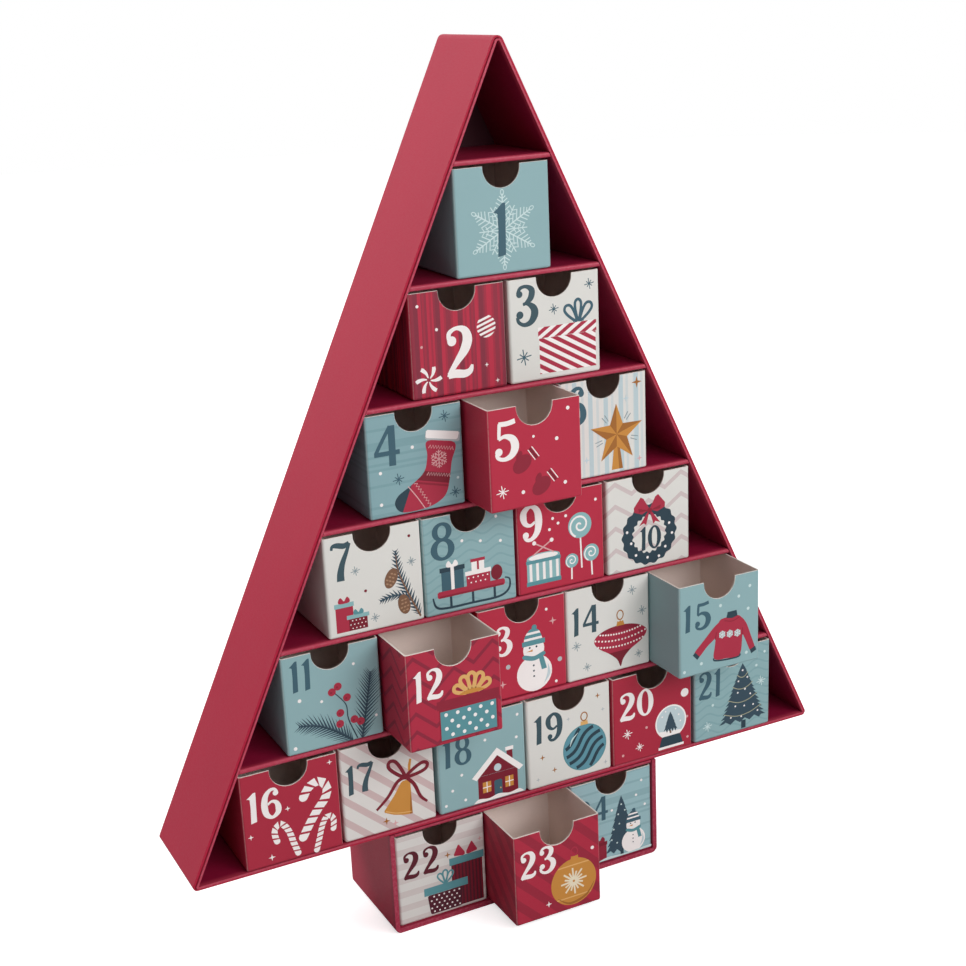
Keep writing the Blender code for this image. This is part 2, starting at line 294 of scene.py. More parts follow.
def make_board_paper(name, outside, inside=None, sheen=BOARD_SHEEN, gloss=PAPER_GLOSS):
    """Paper wrapped round a board: a rubbed front edge, and another colour further in."""
    material, tree, shader = new_material(name, gloss)
    ground = colour(outside)
    if inside:
        ground = blend_along_depth(tree, outside, inside,
                                   FRONT + INSIDE_STARTS, FRONT + INSIDE_WHOLE)
    rub = add_group(tree, EDGE_RUB, {})
    ground = blend_colours(tree, rub["Mask"], ground, colour(RUBBED))
    finish_paper(tree, shader, ground, BOARD_MOTTLE, sheen, BOARD_RELIEF)
    return material


def make_back_paper():
    """Back boards: lining inside, darkened with painted shade, and crimson paper on the outside."""
    material, tree, shader = new_material("back_paper")
    ground = blend_along_depth(tree, SHADED_BACK_LINING, CRIMSON,
                               BACK - OUTSIDE_STARTS, BACK - OUTSIDE_WHOLE)
    finish_paper(tree, shader, ground, BOARD_MOTTLE, BACK_SHEEN, BOARD_RELIEF)
    return material


def make_printed_card(name, ground, lines=None):
    """Printed outside of a tray: its ground colour, its pattern, and its folds paled by wear and a
    painted highlight.
    """
    material, tree, shader = new_material(name)
    place = add_node(tree, "UVMap", uv_map="unfolded").outputs[0]
    ground = colour(ground)
    for ink, by_tone, settings in lines or ():
        drawn = add_group(tree, PRINTED_LINES, {"Place": place, **settings})
        mask = drawn["Mask"]
        if by_tone:
            mask = calculate(tree, "LESS_THAN", drawn["Tone"], by_tone)
        ground = blend_colours(tree, mask, ground, colour(ink))
    # Folds paled by rubbed print and a painted highlight
    rub = add_group(tree, WORN_FOLDS_WITH_HIGHLIGHT, {"Place": place})
    ground = blend_colours(tree, rub["Mask"], ground, colour(WORN_FOLD_HIGHLIGHT_CARD))
    finish_paper(tree, shader, ground, CARD_MOTTLE, CARD_SHEEN, CARD_RELIEF)
    return material


def make_plain_paper(name, ground, mottle, sheen, relief):
    material, tree, shader = new_material(name)
    finish_paper(tree, shader, colour(ground), mottle, sheen, relief)
    return material


def upright_lines(ink, spacing, share):
    return ink, 0, {"Along": 1.0, "Up": 0.0, "Spacing": spacing, "Share": share}


# Finishes: how far in from a board's front or back its next colour starts and is whole

INSIDE_STARTS, INSIDE_WHOLE = 0.0006, 0.0045
OUTSIDE_STARTS, OUTSIDE_WHOLE = 0.0012, 0.0008

CRIMSON = "B4203E"
RIM = "B83A52"
LINING = "8E1237"
# Lining of the back boards, darkened with painted shade
SHADED_BACK_LINING = "3E0B1A"
RUBBED = "CC7183"
# Pale card along the folds: worn print and a painted highlight
WORN_FOLD_HIGHLIGHT_CARD = "E9E3DC"

cover_paper = make_board_paper("cover_paper", CRIMSON, sheen=COVER_SHEEN, gloss=COVER_GLOSS)
rim_paper = make_board_paper("rim_paper", RIM, LINING)
shelf_paper = make_board_paper("shelf_paper", "B4354E", LINING)
trunk_paper = make_board_paper("trunk_paper", "A42A45", "BC304C")
back_paper = make_back_paper()
cut_edge = make_plain_paper("cut_edge", "F2EBE2", BARE_MOTTLE, BARE_SHEEN, BARE_RELIEF)
bare_inside = make_plain_paper("bare_inside", "F3E3DA", BARE_MOTTLE, BARE_SHEEN, BARE_RELIEF)

TEAL = "91B3B7"
SCARLET = "B82741"
# Scarlet darkened with painted shade
SHADED_SCARLET = "AC243C"
OFF_WHITE = "E3E1DC"
BLUSH = "DEDAD6"

STREAKED_SHARE = 0.30

PLAIN_TEAL = make_printed_card("plain_teal", TEAL)
STREAKED_TEAL = make_printed_card("streaked_teal", "89ACB2", [
    ("7FA3A9", STREAKED_SHARE, {"Spacing": 0.0013})])
# Streaked teal made paler with painted light, for drawer 24
TEAL_WITH_PAINTED_LIGHT = make_printed_card("teal_with_painted_light", "9CBFC5", [
    ("90B3B9", STREAKED_SHARE, {"Spacing": 0.0013})])
WAVED_TEAL = make_printed_card("waved_teal", TEAL, [
    ("86AAAF", 0, {"Spacing": 0.0050, "Share": 0.22, "Swing": 0.0030, "Period": 0.016,
                   "Roundness": 1.0})])
PLAIN_RED = make_printed_card("plain_red", SCARLET)
# Plain scarlet card darkened with painted shade, for drawers 16 and 20
SHADED_RED = make_printed_card("shaded_red", SHADED_SCARLET)
STRIPED_RED = make_printed_card("striped_red", "BA2A44", [
    upright_lines("902A3E", 0.0062, 0.46), upright_lines("A4283F", 0.0036, 0.30),
    upright_lines("83293C", 0.0113, 0.20)])
CHEVRON_RED = make_printed_card("chevron_red", "B12640", [
    ("8C2038", 0, {"Spacing": 0.0094, "Share": 0.24, "Swing": 0.0090, "Period": 0.021})])
SLANTED_RED = make_printed_card("slanted_red", "B0263F", [
    ("9A2239", 0, {"Along": 0.70, "Up": 0.714, "Spacing": 0.0100, "Share": 0.45})])
PLAIN_WHITE = make_printed_card("plain_white", OFF_WHITE)
STRIPED_WHITE = make_printed_card("striped_white", OFF_WHITE, [
    upright_lines("D3D9D9", 0.0043, 0.34), upright_lines("BFD0D5", 0.0089, 0.28)])
ZIGZAG_WHITE = make_printed_card("zigzag_white", OFF_WHITE, [
    ("D3C4C3", 0, {"Spacing": 0.0118, "Share": 0.22, "Swing": 0.0066, "Period": 0.020})])
SLANTED_BLUSH = make_printed_card("slanted_blush", "E2DDD9", [
    ("CFB6B5", 0, {"Along": 0.66, "Up": 0.75, "Spacing": 0.0090, "Share": 0.38})])
BANDED_BLUSH = make_printed_card("banded_blush", BLUSH, [
    ("D3C8C5", 0, {"Spacing": 0.0080, "Share": 0.45})])

GROUNDS = {
    1: PLAIN_TEAL, 2: STRIPED_RED, 3: PLAIN_WHITE, 4: STREAKED_TEAL, 5: PLAIN_RED,
    6: STRIPED_WHITE, 7: PLAIN_WHITE, 8: WAVED_TEAL, 9: PLAIN_RED, 10: ZIGZAG_WHITE,
    11: PLAIN_TEAL, 12: CHEVRON_RED, 13: PLAIN_RED, 14: PLAIN_WHITE, 15: PLAIN_TEAL,
    16: SHADED_RED, 17: SLANTED_BLUSH, 18: PLAIN_TEAL, 19: PLAIN_WHITE, 20: SHADED_RED,
    21: WAVED_TEAL, 22: BANDED_BLUSH, 23: SLANTED_RED, 24: TEAL_WITH_PAINTED_LIGHT,
}
SLOTS = {
    "teal_card": (1, 4, 8, 11, 15, 18, 21, 24),
    "red_card": (2, 5, 9, 12, 13, 16, 20, 23),
    "white_card": (3, 6, 7, 10, 14, 19),
    "blush_card": (17, 22),
}
BOARDS = {
    cover_paper: ("cover_left", "cover_right", "cover_base"),
    rim_paper: ("liner_left", "liner_right", "liner_base"),
    shelf_paper: tuple(f"shelf_{row}" for row in range(1, 7)),
    trunk_paper: ("trunk_left", "trunk_right", "trunk_floor", "trunk_lid"),
    back_paper: ("back_board", "trunk_back"),
}

# Inks
INK_COLOURS = {
    "white": "FBF4F2", "slate": "3D5F6D", "dark_slate": "273D49", "crimson": "AE2A43",
    "dark_red": "8E1D33", "gold": "CC8C3E", "pale_gold": "E3B06C", "dark_gold": "A4682C",
    "teal": "8DB9BC", "dark_teal": "5A939B", "pale_blue": "C6D6DB", "grey": "B9BEC1",
    "ash": "8E9CA1", "pink": "DDA9AB", "brown": "7E5A44", "pale_brown": "A98467",
    "maroon": "7A1529", "frost": "CFE2E2", "fir": "344A58", "steel": "5F96A6",
    "garland": "A9A88E", "cream": "F0E3C8", "plum": "4E1526", "wine": "561222",
    "grey_slate": "3A525B",
}
INKS = {name: make_plain_paper("ink_" + name, code, INK_MOTTLE, INK_SHEEN, INK_RELIEF)
        for name, code in INK_COLOURS.items()}


def dress_boards():
    for material, names in BOARDS.items():
        for name in names:
            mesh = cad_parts[name].data
            mesh.materials.clear()
            mesh.materials.append(material)


def add_object(name, data):
    added = bpy.data.objects.new(name, data)
    bpy.context.scene.collection.objects.link(added)
    return added


def add_shape(name, edit, materials):
    """Object of the edited shapes, with its materials."""
    mesh = bpy.data.meshes.new(name)
    edit.to_mesh(mesh)
    edit.free()
    for material in materials:
        mesh.materials.append(material)
    return add_object(name, mesh)


def finish_piece(name, edit, materials, body="tree"):
    """Makes a piece of the edited shapes; it rides on a body of the CAD."""
    bmesh.ops.recalc_face_normals(edit, faces=edit.faces)
    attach(add_shape(name, edit, materials), body)


# Seams, glue and lining in the slits that the CAD leaves between its boards

SLIT = 0.0003
SEAM_WIDTH = 0.00028
SEAM_INSET = 0.0001
LINING_INSET = 0.00005
GLUE_INSET = 0.0003
GLUE_CLEARANCE = 0.00004

top_shelf, low_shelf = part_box("shelf_1"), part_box("shelf_6")
SLOPE = (low_shelf[1].x - top_shelf[1].x) / (top_shelf[0].z - low_shelf[0].z)
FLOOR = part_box("liner_base")[1].z


def side_reach(height):
    """Distance from the middle to the inside of the tree's side at a height."""
    end_slit = SLIT * math.hypot(1.0, SLOPE)
    return low_shelf[1].x + end_slit + SLOPE * (low_shelf[0].z - height)


PEAK = FLOOR + side_reach(FLOOR) / SLOPE


def add_prism(edit, outline, front, back, material=0):
    """Outline of (x, z) points, made thick from y = front to y = back."""
    ends = [[edit.verts.new((x, y, z)) for x, z in outline] for y in (front, back)]
    faces = [edit.faces.new(end) for end in ends]
    for i in range(len(outline)):
        faces.append(edit.faces.new((ends[0][i - 1], ends[0][i], ends[1][i], ends[1][i - 1])))
    for face in faces:
        face.material_index = material


def make_seam(name, boards, inside, outwards):
    """Folded paper in the mitred corner of one or two plies of board."""
    edit = bmesh.new()
    outwards = outwards.normalized()
    sideways = Vector((-outwards.y, outwards.x))
    for material, board in enumerate(boards):
        offsets = [Vector((v.co.x, v.co.z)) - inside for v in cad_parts[board].data.vertices]
        reaches = [offset.dot(outwards) for offset in offsets if abs(offset.dot(sideways)) < SLIT]
        start, end = min(reaches), max(reaches) - SEAM_INSET
        outline = [inside + outwards * reach + sideways * way * SEAM_WIDTH / 2
                   for reach, way in ((start, -1), (end, -1), (end, 1), (start, 1))]
        add_prism(edit, outline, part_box(board)[0].y + SEAM_INSET, BACK - SEAM_INSET, material)
    finish_piece(name, edit, (rim_paper, cover_paper) if len(boards) > 1 else (trunk_paper,))


def make_seams():
    corner = Vector((side_reach(FLOOR), FLOOR))
    spread = SLOPE + math.hypot(1.0, SLOPE)
    trunk = Vector((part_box("trunk_right")[0].x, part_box("trunk_floor")[1].z))
    make_seam("seam_top", ("liner_right", "cover_right"), Vector((0.0, PEAK)), Vector((0.0, 1.0)))
    for side, way in (("left", -1), ("right", 1)):
        flip = Vector((way, 1))
        make_seam("seam_" + side, ("liner_" + side, "cover_" + side), corner * flip,
                  Vector((way * spread, -1.0)))
        make_seam("trunk_seam_" + side, ("trunk_" + side,), trunk * flip, Vector((way, -1.0)))


def make_layers(name, outlines, front, back, paper=back_paper):
    """Piece of paper or glue in the shape of some outlines."""
    edit = bmesh.new()
    for outline in outlines:
        add_prism(edit, outline, front, back)
    finish_piece(name, edit, (paper,))


def mirror(point):
    return -point[0], point[1]


def make_ply_glue():
    """Glue that shows as a thin line between the two plies of the tree's boards."""
    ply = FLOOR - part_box("liner_base")[0].z
    rings = []
    for reach in (ply + GLUE_CLEARANCE, ply + SLIT - GLUE_CLEARANCE):
        out = reach * math.hypot(1.0, SLOPE)
        rings.append([(side_reach(height) + out, height) for height in (PEAK, FLOOR - reach)])
    (inner_top, inner_foot), (outer_top, outer_foot) = rings
    side = [inner_foot, inner_top, outer_top, outer_foot]
    make_layers("ply_glue", ([mirror(inner_foot), inner_foot, outer_foot, mirror(outer_foot)],
                             side, [mirror(point) for point in side]),
                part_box("cover_base")[0].y + GLUE_INSET, BACK - GLUE_INSET, cover_paper)


def make_lining():
    """Lining paper on the back boards, and glue between the tree and its trunk."""
    front = low_shelf[1].y + LINING_INSET
    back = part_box("back_board")[0].y - LINING_INSET
    reach = side_reach(FLOOR)
    # The tree's and trunk's lining take the back paper's lining colour, which is darkened with
    # painted shade
    make_layers("tree_lining", [[(-reach, FLOOR), (reach, FLOOR), (0.0, PEAK)]], front, back)
    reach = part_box("trunk_right")[0].x
    low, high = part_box("trunk_floor")[1].z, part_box("trunk_lid")[0].z
    make_layers("trunk_lining", [box(-reach, low, reach, high)], front, back)
    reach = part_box("trunk_right")[1].x - GLUE_INSET
    low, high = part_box("trunk_lid")[1].z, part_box("cover_base")[0].z
    make_layers("trunk_glue", [box(-reach, low, reach, high)],
                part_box("cover_base")[0].y + GLUE_INSET, BACK - GLUE_INSET)


# Trays

OUTSIDE, EDGE, INSIDE = range(3)


def wall_depth(point, low, high):
    """Distance of a point from the nearest outer plane of a tray."""
    return min(point.x - low.x, high.x - point.x, point.y - low.y, high.y - point.y,
               point.z - low.z)


def make_tray(number):
    """Drawer as a folded card tray: printed outside, grey inside, pale cut edge."""
    name = f"drawer_{number:02d}"
    low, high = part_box(name)
    middle = (low.x + high.x) / 2
    edit = bmesh.new()
    edit.from_mesh(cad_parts[name].data)
    bmesh.ops.remove_doubles(edit, verts=edit.verts, dist=WELD_DISTANCE)
    bmesh.ops.dissolve_limit(edit, angle_limit=FLAT_ANGLE, verts=edit.verts, edges=edit.edges)
    for face in edit.faces:
        outer = [wall_depth(v.co, low, high) < CARD_WALL * OUTER_SHARE for v in face.verts]
        face.material_index = OUTSIDE if all(outer) else EDGE if any(outer) else INSIDE
    rim = [e for e in edit.edges if len(e.link_faces) == 2
           and sum(f.material_index == EDGE for f in e.link_faces) == 1]
    bmesh.ops.bevel(edit, geom=rim, offset=RIM_SOFTENING, segments=RIM_SEGMENTS, profile=0.5,
                    affect="EDGES", clamp_overlap=True, material=EDGE)
    unfolded = edit.loops.layers.uv.new("unfolded")
    for face in edit.faces:
        normal = face.normal
        face.smooth = max(abs(normal.x), abs(normal.y), abs(normal.z)) < SQUARE
        for loop in face.loops:
            x, y, z = loop.vert.co - Vector((middle, low.y, low.z))
            if normal.z < -FACING:
                loop[unfolded].uv = (x, -y)
            elif normal.y > FACING:
                loop[unfolded].uv = (x, z)
            else:
                loop[unfolded].uv = (x + math.copysign(y, x), z)
    tray = add_shape(f"tray_{number:02d}", edit, (GROUNDS[number], cut_edge, bare_inside))
    normals = tray.data.attributes.get("custom_normal")
    if normals:
        tray.data.attributes.remove(normals)
    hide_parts(name)
    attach(tray, name)
    next(slot for slot, numbers in SLOTS.items() if number in numbers)


# Outlines, in millimetres

def smooth(points, steps=5, closed=True):
    """Even curve through points; further values in a point, such as a width, follow along."""
    count = len(points)
    spans = count if closed else count - 1
    curve = []
    for i in range(spans):
        near = [i - 1, i, i + 1, i + 2]
        a, b, c, d = (points[j % count] if closed else points[min(max(j, 0), count - 1)]
                      for j in near)
        for step in range(steps):
            t = step / steps
            curve.append(tuple(
                0.5 * (2 * q + (r - p) * t + (2 * p - 5 * q + 4 * r - s) * t * t
                       + (3 * q - p - 3 * r + s) * t ** 3)
                for p, q, r, s in zip(a, b, c, d)))
    return curve if closed else curve + [tuple(points[-1])]


def turned(u, v, turn, along, out=0.0):
    """Point along and out from (u, v), in axes turned by an angle."""
    cosine, sine = math.cos(turn), math.sin(turn)
    return u + along * cosine - out * sine, v + along * sine + out * cosine


def oval(u, v, across, up=None, turn=0.0, steps=20):
    up = across if up is None else up
    angles = (2 * math.pi * i / steps for i in range(steps))
    return [turned(u, v, turn, across * math.cos(a), up * math.sin(a)) for a in angles]


def star(u, v, tips, outer, inner, start=90.0):
    """Pointed star; its first tip is at the start angle in degrees."""
    return [turned(u, v, math.radians(start + 180 * i / tips), inner if i % 2 else outer)
            for i in range(2 * tips)]


ARM_WIDTH_SHARE, ARM_LEAST_WIDTH = 0.055, 0.06
ARM_TURN = 0.2  # of the way to the next arm
SHORT_ARM = 0.74


def asterisk(u, v, radius, arms=8):
    """Even lines that cross in the middle, every other one shorter."""
    half = ARM_WIDTH_SHARE * radius + ARM_LEAST_WIDTH
    notch = half / math.sin(math.pi / arms)
    outline = []
    for i in range(arms):
        turn = 2 * math.pi * (i + ARM_TURN) / arms
        reach = radius * (SHORT_ARM if i % 2 else 1.0)
        outline.append(turned(u, v, turn - math.pi / arms, notch))
        outline += [turned(u, v, turn, reach, way * half) for way in (-1, 1)]
    return outline


def box(left, low, right, high):
    return [(left, low), (right, low), (right, high), (left, high)]


CORNER_CUT = 0.7
MOST_CUT = 0.45  # of an edge


def smooth_corners(points):
    """Outline with its corners cut off."""
    outline = []
    for i, point in enumerate(points):
        for other in (points[i - 1], points[(i + 1) % len(points)]):
            length = math.dist(point, other)
            share = min(CORNER_CUT / length, MOST_CUT)
            outline.append(tuple(p + (o - p) * share for p, o in zip(point, other)))
    return outline


def place_along(line, length):
    """Point at a length along a line, and its direction there."""
    length = max(length, 0.0)
    for first, last in zip(line, line[1:]):
        span = math.dist(first, last)
        if length <= span or last is line[-1]:
            share = min(length / span, 1.0)
            return (tuple(a + (b - a) * share for a, b in zip(first, last)),
                    tuple((b - a) / span for a, b in zip(first, last)))
        length -= span


def zigzag(start, end, turns, height):
    """Points of a zigzag line between two places."""
    length = math.dist(start, end)
    out = (-(end[1] - start[1]) / length * height, (end[0] - start[0]) / length * height)
    points = []
    for i in range(2 * turns + 1):
        way = 1 if i % 2 else -1
        points.append(tuple(a + (b - a) * i / (2 * turns) + way * o
                            for a, b, o in zip(start, end, out)))
    return points


def cut(outline, across, up, limit):
    """The part of an outline where across * u + up * v is below the limit."""
    kept = []
    for i, point in enumerate(outline):
        before = outline[i - 1]
        here = across * point[0] + up * point[1] - limit
        there = across * before[0] + up * before[1] - limit
        if (here < 0) != (there < 0):
            share = there / (there - here)
            kept.append(tuple(b + (p - b) * share for b, p in zip(before, point)))
        if here < 0:
            kept.append(point)
    return kept


def bands(outline, slant, spacing, width, start=0.0):
    """Parallel bands inside an outline; slant is their angle in degrees from level."""
    across, up = -math.sin(math.radians(slant)), math.cos(math.radians(slant))
    levels = [across * u + up * v for u, v in outline]
    level = min(levels) - spacing + start
    while level < max(levels):
        piece = cut(cut(outline, across, up, level + width), -across, -up, -level)
        if len(piece) > 2:
            yield piece
        level += spacing


# Digits on a height of 10: pen strokes of (across, up, width) points, round ends as (across,
# up, radius), and rings as (across, up, half width, half height, weight of sides and of ends)
PEN = {
    "0": {"wide": 5.6, "rings": [(2.8, 5.0, 2.2, 4.5, 1.9, 0.8)]},
    "1": {"wide": 3.2, "shape": [(0.0, 8.35), (0.9, 9.0), (1.7, 9.7), (2.1, 10.0), (2.75, 10.0),
                                 (2.7, 7.0), (2.5, 0.3), (0.75, 0.0), (1.0, 5.0), (0.95, 8.0),
                                 (0.5, 8.25)]},
    "2": {"wide": 6.1,
          "strokes": [[(1.0, 7.6, 0.9), (1.1, 8.9, 0.9), (2.6, 9.65, 0.75), (4.3, 9.1, 1.5),
                       (4.9, 7.4, 2.0), (4.2, 5.4, 1.9), (2.6, 3.4, 1.3), (1.2, 1.6, 1.0),
                       (0.6, 0.5, 0.8)],
                      [(0.5, 0.75, 1.2), (2.0, 1.0, 1.6), (4.0, 0.75, 1.5), (5.2, 1.2, 1.2),
                       (5.7, 2.3, 0.5)]],
          "balls": [(1.55, 7.3, 0.95)]},
    "3": {"wide": 6.1,
          "strokes": [[(0.9, 8.0, 1.0), (1.5, 9.3, 0.9), (3.2, 9.6, 0.9), (4.7, 8.6, 1.6),
                       (4.4, 6.8, 1.6), (3.0, 5.6, 0.9), (2.2, 5.3, 0.6)],
                      [(2.2, 5.5, 0.6), (3.6, 5.4, 1.0), (5.1, 4.2, 1.8), (5.3, 2.6, 2.0),
                       (4.2, 0.9, 1.5), (2.4, 0.4, 1.0), (0.9, 1.2, 0.9), (0.6, 2.4, 0.9)]],
          "balls": [(1.25, 2.9, 0.95), (1.3, 7.9, 0.85)]},
    "4": {"wide": 6.4,
          "strokes": [[(4.3, 9.8, 0.9), (2.4, 6.7, 0.9), (0.6, 3.6, 0.9)],
                      [(0.2, 3.3, 1.1), (3.3, 3.3, 1.1), (6.4, 3.3, 1.1)],
                      [(4.6, 9.9, 1.7), (4.6, 5.0, 1.7), (4.5, 0.1, 1.7)]]},
    "5": {"wide": 6.2,
          "strokes": [[(1.5, 9.3, 1.1), (3.6, 9.2, 1.2), (5.7, 9.6, 1.2)],
                      [(1.75, 9.4, 0.9), (1.6, 7.5, 0.9), (1.5, 5.6, 0.8)],
                      [(1.4, 5.5, 0.7), (3.0, 6.1, 1.0), (4.9, 5.2, 1.8), (5.5, 3.2, 2.1),
                       (4.6, 1.2, 1.6), (2.8, 0.4, 1.0), (1.2, 0.9, 0.9), (0.8, 2.0, 0.9)]],
          "balls": [(1.35, 2.4, 0.95)]},
    "6": {"wide": 5.9,
          "strokes": [[(4.9, 8.4, 0.9), (4.2, 9.5, 0.9), (2.8, 9.4, 1.1), (1.4, 7.6, 1.7),
                       (0.95, 4.6, 2.0), (1.4, 1.8, 1.7), (3.0, 0.45, 1.0), (4.7, 1.6, 1.6),
                       (5.0, 3.3, 1.8), (4.5, 5.0, 1.3), (3.2, 5.7, 0.8), (1.9, 4.9, 0.7)]],
          "balls": [(4.5, 8.2, 0.85)]},
    "7": {"wide": 6.0,
          "strokes": [[(0.4, 8.4, 0.7), (0.7, 9.3, 0.9), (2.0, 9.4, 1.4), (4.0, 9.0, 1.5),
                       (5.6, 9.5, 1.2)],
                      [(5.7, 9.5, 0.7), (4.6, 7.2, 1.1), (3.3, 4.6, 1.5), (2.6, 2.2, 1.9),
                       (2.5, 0.2, 2.1)]]},
    "8": {"wide": 6.0,
          "rings": [(3.0, 7.5, 1.75, 2.05, 1.5, 0.8), (3.0, 2.9, 2.15, 2.5, 1.7, 0.8)]},
}
DIGIT_HEIGHT = 10.0
DIGIT_SPACE = 0.9
RING_STEPS = 28
DOT_STEPS = 14
SPARKLE_WAIST = 0.30


class Print:
    """Flat inked shapes on the front of one drawer; a new shape lies over those that it crosses."""

    def __init__(self, number):
        self.number = number
        self.edit = bmesh.new()
        self.inks = []
        self.areas = []
        self.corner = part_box(f"drawer_{number:02d}")[0]

    def layer_over(self, points, margin=0.0):
        """Layer of a new shape: one above the highest that its limits cross."""
        left, right = min(p[0] for p in points) - margin, max(p[0] for p in points) + margin
        low, high = min(p[1] for p in points) - margin, max(p[1] for p in points) + margin
        under = [layer for other_left, other_low, other_right, other_high, layer in self.areas
                 if other_left < right and left < other_right
                 and other_low < high and low < other_high]
        layer = max(under, default=0) + 1
        self.areas.append((left, low, right, high, layer))
        return layer

    def corner_at(self, u, v, layer):
        return self.edit.verts.new(self.corner + Vector((u * MM, -INK_STEP * layer, v * MM)))

    def ink_face(self, corners, ink):
        if ink not in self.inks:
            self.inks.append(ink)
        self.edit.faces.new(corners).material_index = self.inks.index(ink)

    def fill(self, ink, *outlines):
        """Filled outlines that don't cross each other, all in one layer."""
        layer = self.layer_over([point for outline in outlines for point in outline])
        for outline in outlines:
            self.ink_face([self.corner_at(u, v, layer) for u, v in outline], ink)

    def stroke(self, ink, points, width=None, curved=True, closed=False):
        """Line through points; each has its own width where none is given."""
        if width is not None:
            points = [(*p[:2], width) for p in points]
        layer = self.layer_over(points, max(p[2] for p in points) / 2)
        if curved:
            points = smooth(points, closed=closed)
        count = len(points)
        sides = []
        for i, (u, v, wide) in enumerate(points):
            if closed:
                before, after = points[i - 1], points[(i + 1) % count]
            else:
                before, after = points[max(i - 1, 0)], points[min(i + 1, count - 1)]
            along_u, along_v = after[0] - before[0], after[1] - before[1]
            share = wide / 2 / (math.hypot(along_u, along_v) or 1.0)
            sides.append([self.corner_at(u - way * along_v * share, v + way * along_u * share,
                                         layer) for way in (-1, 1)])
        nexts = sides[1:] + sides[:1] if closed else sides[1:]
        for (a, b), (c, d) in zip(sides, nexts):
            self.ink_face((a, c, d, b), ink)

    def line(self, ink, points, width=None):
        self.stroke(ink, points, width, curved=False)

    def ring(self, ink, points, width=None):
        self.stroke(ink, points, width, curved=False, closed=True)

    def dots(self, ink, radius, *places):
        for u, v in places:
            self.fill(ink, oval(u, v, radius, steps=DOT_STEPS))

    def sparkles(self, ink, radius, *places):
        """Four-pointed glints."""
        for u, v in places:
            self.fill(ink, star(u, v, 4, radius, radius * SPARKLE_WAIST))

    def asterisks(self, ink, radius, *places):
        for u, v in places:
            self.fill(ink, asterisk(u, v, radius))

    def rays(self, ink, u, v, inner, outer, angles, width):
        for turn in angles:
            self.line(ink, [turned(u, v, math.radians(turn), reach)
                            for reach in (inner, outer)], width)

    def digits(self, left, low, right, high, ink):
        """The drawer's number, fitted between these limits."""
        signs = str(self.number)
        wide = sum(PEN[s.replace("9", "6")]["wide"] for s in signs)
        wide += DIGIT_SPACE * (len(signs) - 1)
        across, up = (right - left) / wide, (high - low) / DIGIT_HEIGHT
        start = left
        for sign in signs:
            turned = sign == "9"
            pen = PEN["6" if turned else sign]
            self.digit(pen, turned, start, low, across, up, ink)
            start += (pen["wide"] + DIGIT_SPACE) * across

    def digit(self, pen, turned, left, low, across, up, ink):
        def fit(x, y):
            if turned:
                x, y = pen["wide"] - x, DIGIT_HEIGHT - y
            return left + x * across, low + y * up

        weight = (across + up) / 2
        if "shape" in pen:
            self.fill(ink, [fit(x, y) for x, y in pen["shape"]])
        for line in pen.get("strokes", ()):
            self.stroke(ink, [(*fit(x, y), w * weight) for x, y, w in line])
        for x, y, radius in pen.get("balls", ()):
            self.fill(ink, oval(*fit(x, y), radius * weight))
        for x, y, wide, tall, sides, ends in pen.get("rings", ()):
            points = []
            for i in range(RING_STEPS):
                angle = 2 * math.pi * i / RING_STEPS
                share = math.cos(angle) ** 2
                points.append((*fit(x + wide * math.cos(angle), y + tall * math.sin(angle)),
                               (ends + (sides - ends) * share) * weight))
            self.ring(ink, points)

    def finish(self):
        """Gives the ink its depth into the card, and makes the piece."""
        grown = bmesh.ops.extrude_face_region(self.edit, geom=self.edit.faces[:])
        backs = [v for v in grown["geom"] if isinstance(v, bmesh.types.BMVert)]
        bmesh.ops.translate(self.edit, verts=backs, vec=(0, INK_DEPTH, 0))
        finish_piece(f"print_{self.number:02d}", self.edit, [INKS[ink] for ink in self.inks],
                     f"drawer_{self.number:02d}")


# Ornaments that several pictures use

BARB_LEAN = math.radians(55)
BARB_WIDTH = 0.8
HALF_SECTOR = math.radians(30)


def snowflake(u, v, radius, width, barbs, start=90.0):
    """Outline of a six-armed snowflake; a barb is its place and length, in shares of an arm."""
    half, barb_width = width / 2, width * BARB_WIDTH
    cosine, sine = math.cos(BARB_LEAN), math.sin(BARB_LEAN)
    side = [(half / math.tan(HALF_SECTOR), half)]
    for place, length in barbs:
        root, along, out = place * radius, length * radius * cosine, length * radius * sine
        side += [(root, half), (root + along, half + out),
                 (root + along + barb_width * sine, half + out - barb_width * cosine),
                 (root + barb_width / sine, half)]
    side.append((radius, half))
    arm = [(r, -w) for r, w in side[1:]] + [(r, w) for r, w in reversed(side)]
    outline = []
    for i in range(6):
        outline += [turned(u, v, math.radians(start + 60 * i), r, w) for r, w in arm]
    return outline


NEEDLE_LEAN = math.radians(40.0)
NEEDLE_FOOT = 0.85  # of the way to the next needle
NEEDLE_LEAST, NEEDLE_VARIES = 0.80, 0.20
TAPER_STARTS, TAPER_RUNS = 0.28, 0.62  # of half a wave, longest in the middle
STEM = 0.7


def needles(path, reach, steps):
    """Outline of a fir sprig, with needles on both sides of a stem along a path."""
    line = smooth(path, steps, closed=False)
    last = len(line) - 1
    sides = ([], [])
    for i, (u, v) in enumerate(line[:-1]):
        along_u, along_v = line[i + 1][0] - u, line[i + 1][1] - v
        length, turn = math.hypot(along_u, along_v), math.atan2(along_v, along_u)
        taper = math.sin(math.pi * (TAPER_STARTS + TAPER_RUNS * i / last))
        needle = reach * taper * (NEEDLE_LEAST + NEEDLE_VARIES * (i * 7 % 5) / 4)
        for side, way in zip(sides, (1, -1)):
            side += [turned(u, v, turn, 0.0, way * STEM / 2),
                     turned(u, v, turn + way * NEEDLE_LEAN, needle),
                     turned(u, v, turn, length * NEEDLE_FOOT, way * STEM / 2)]
    return sides[0] + [line[-1]] + sides[1][::-1]


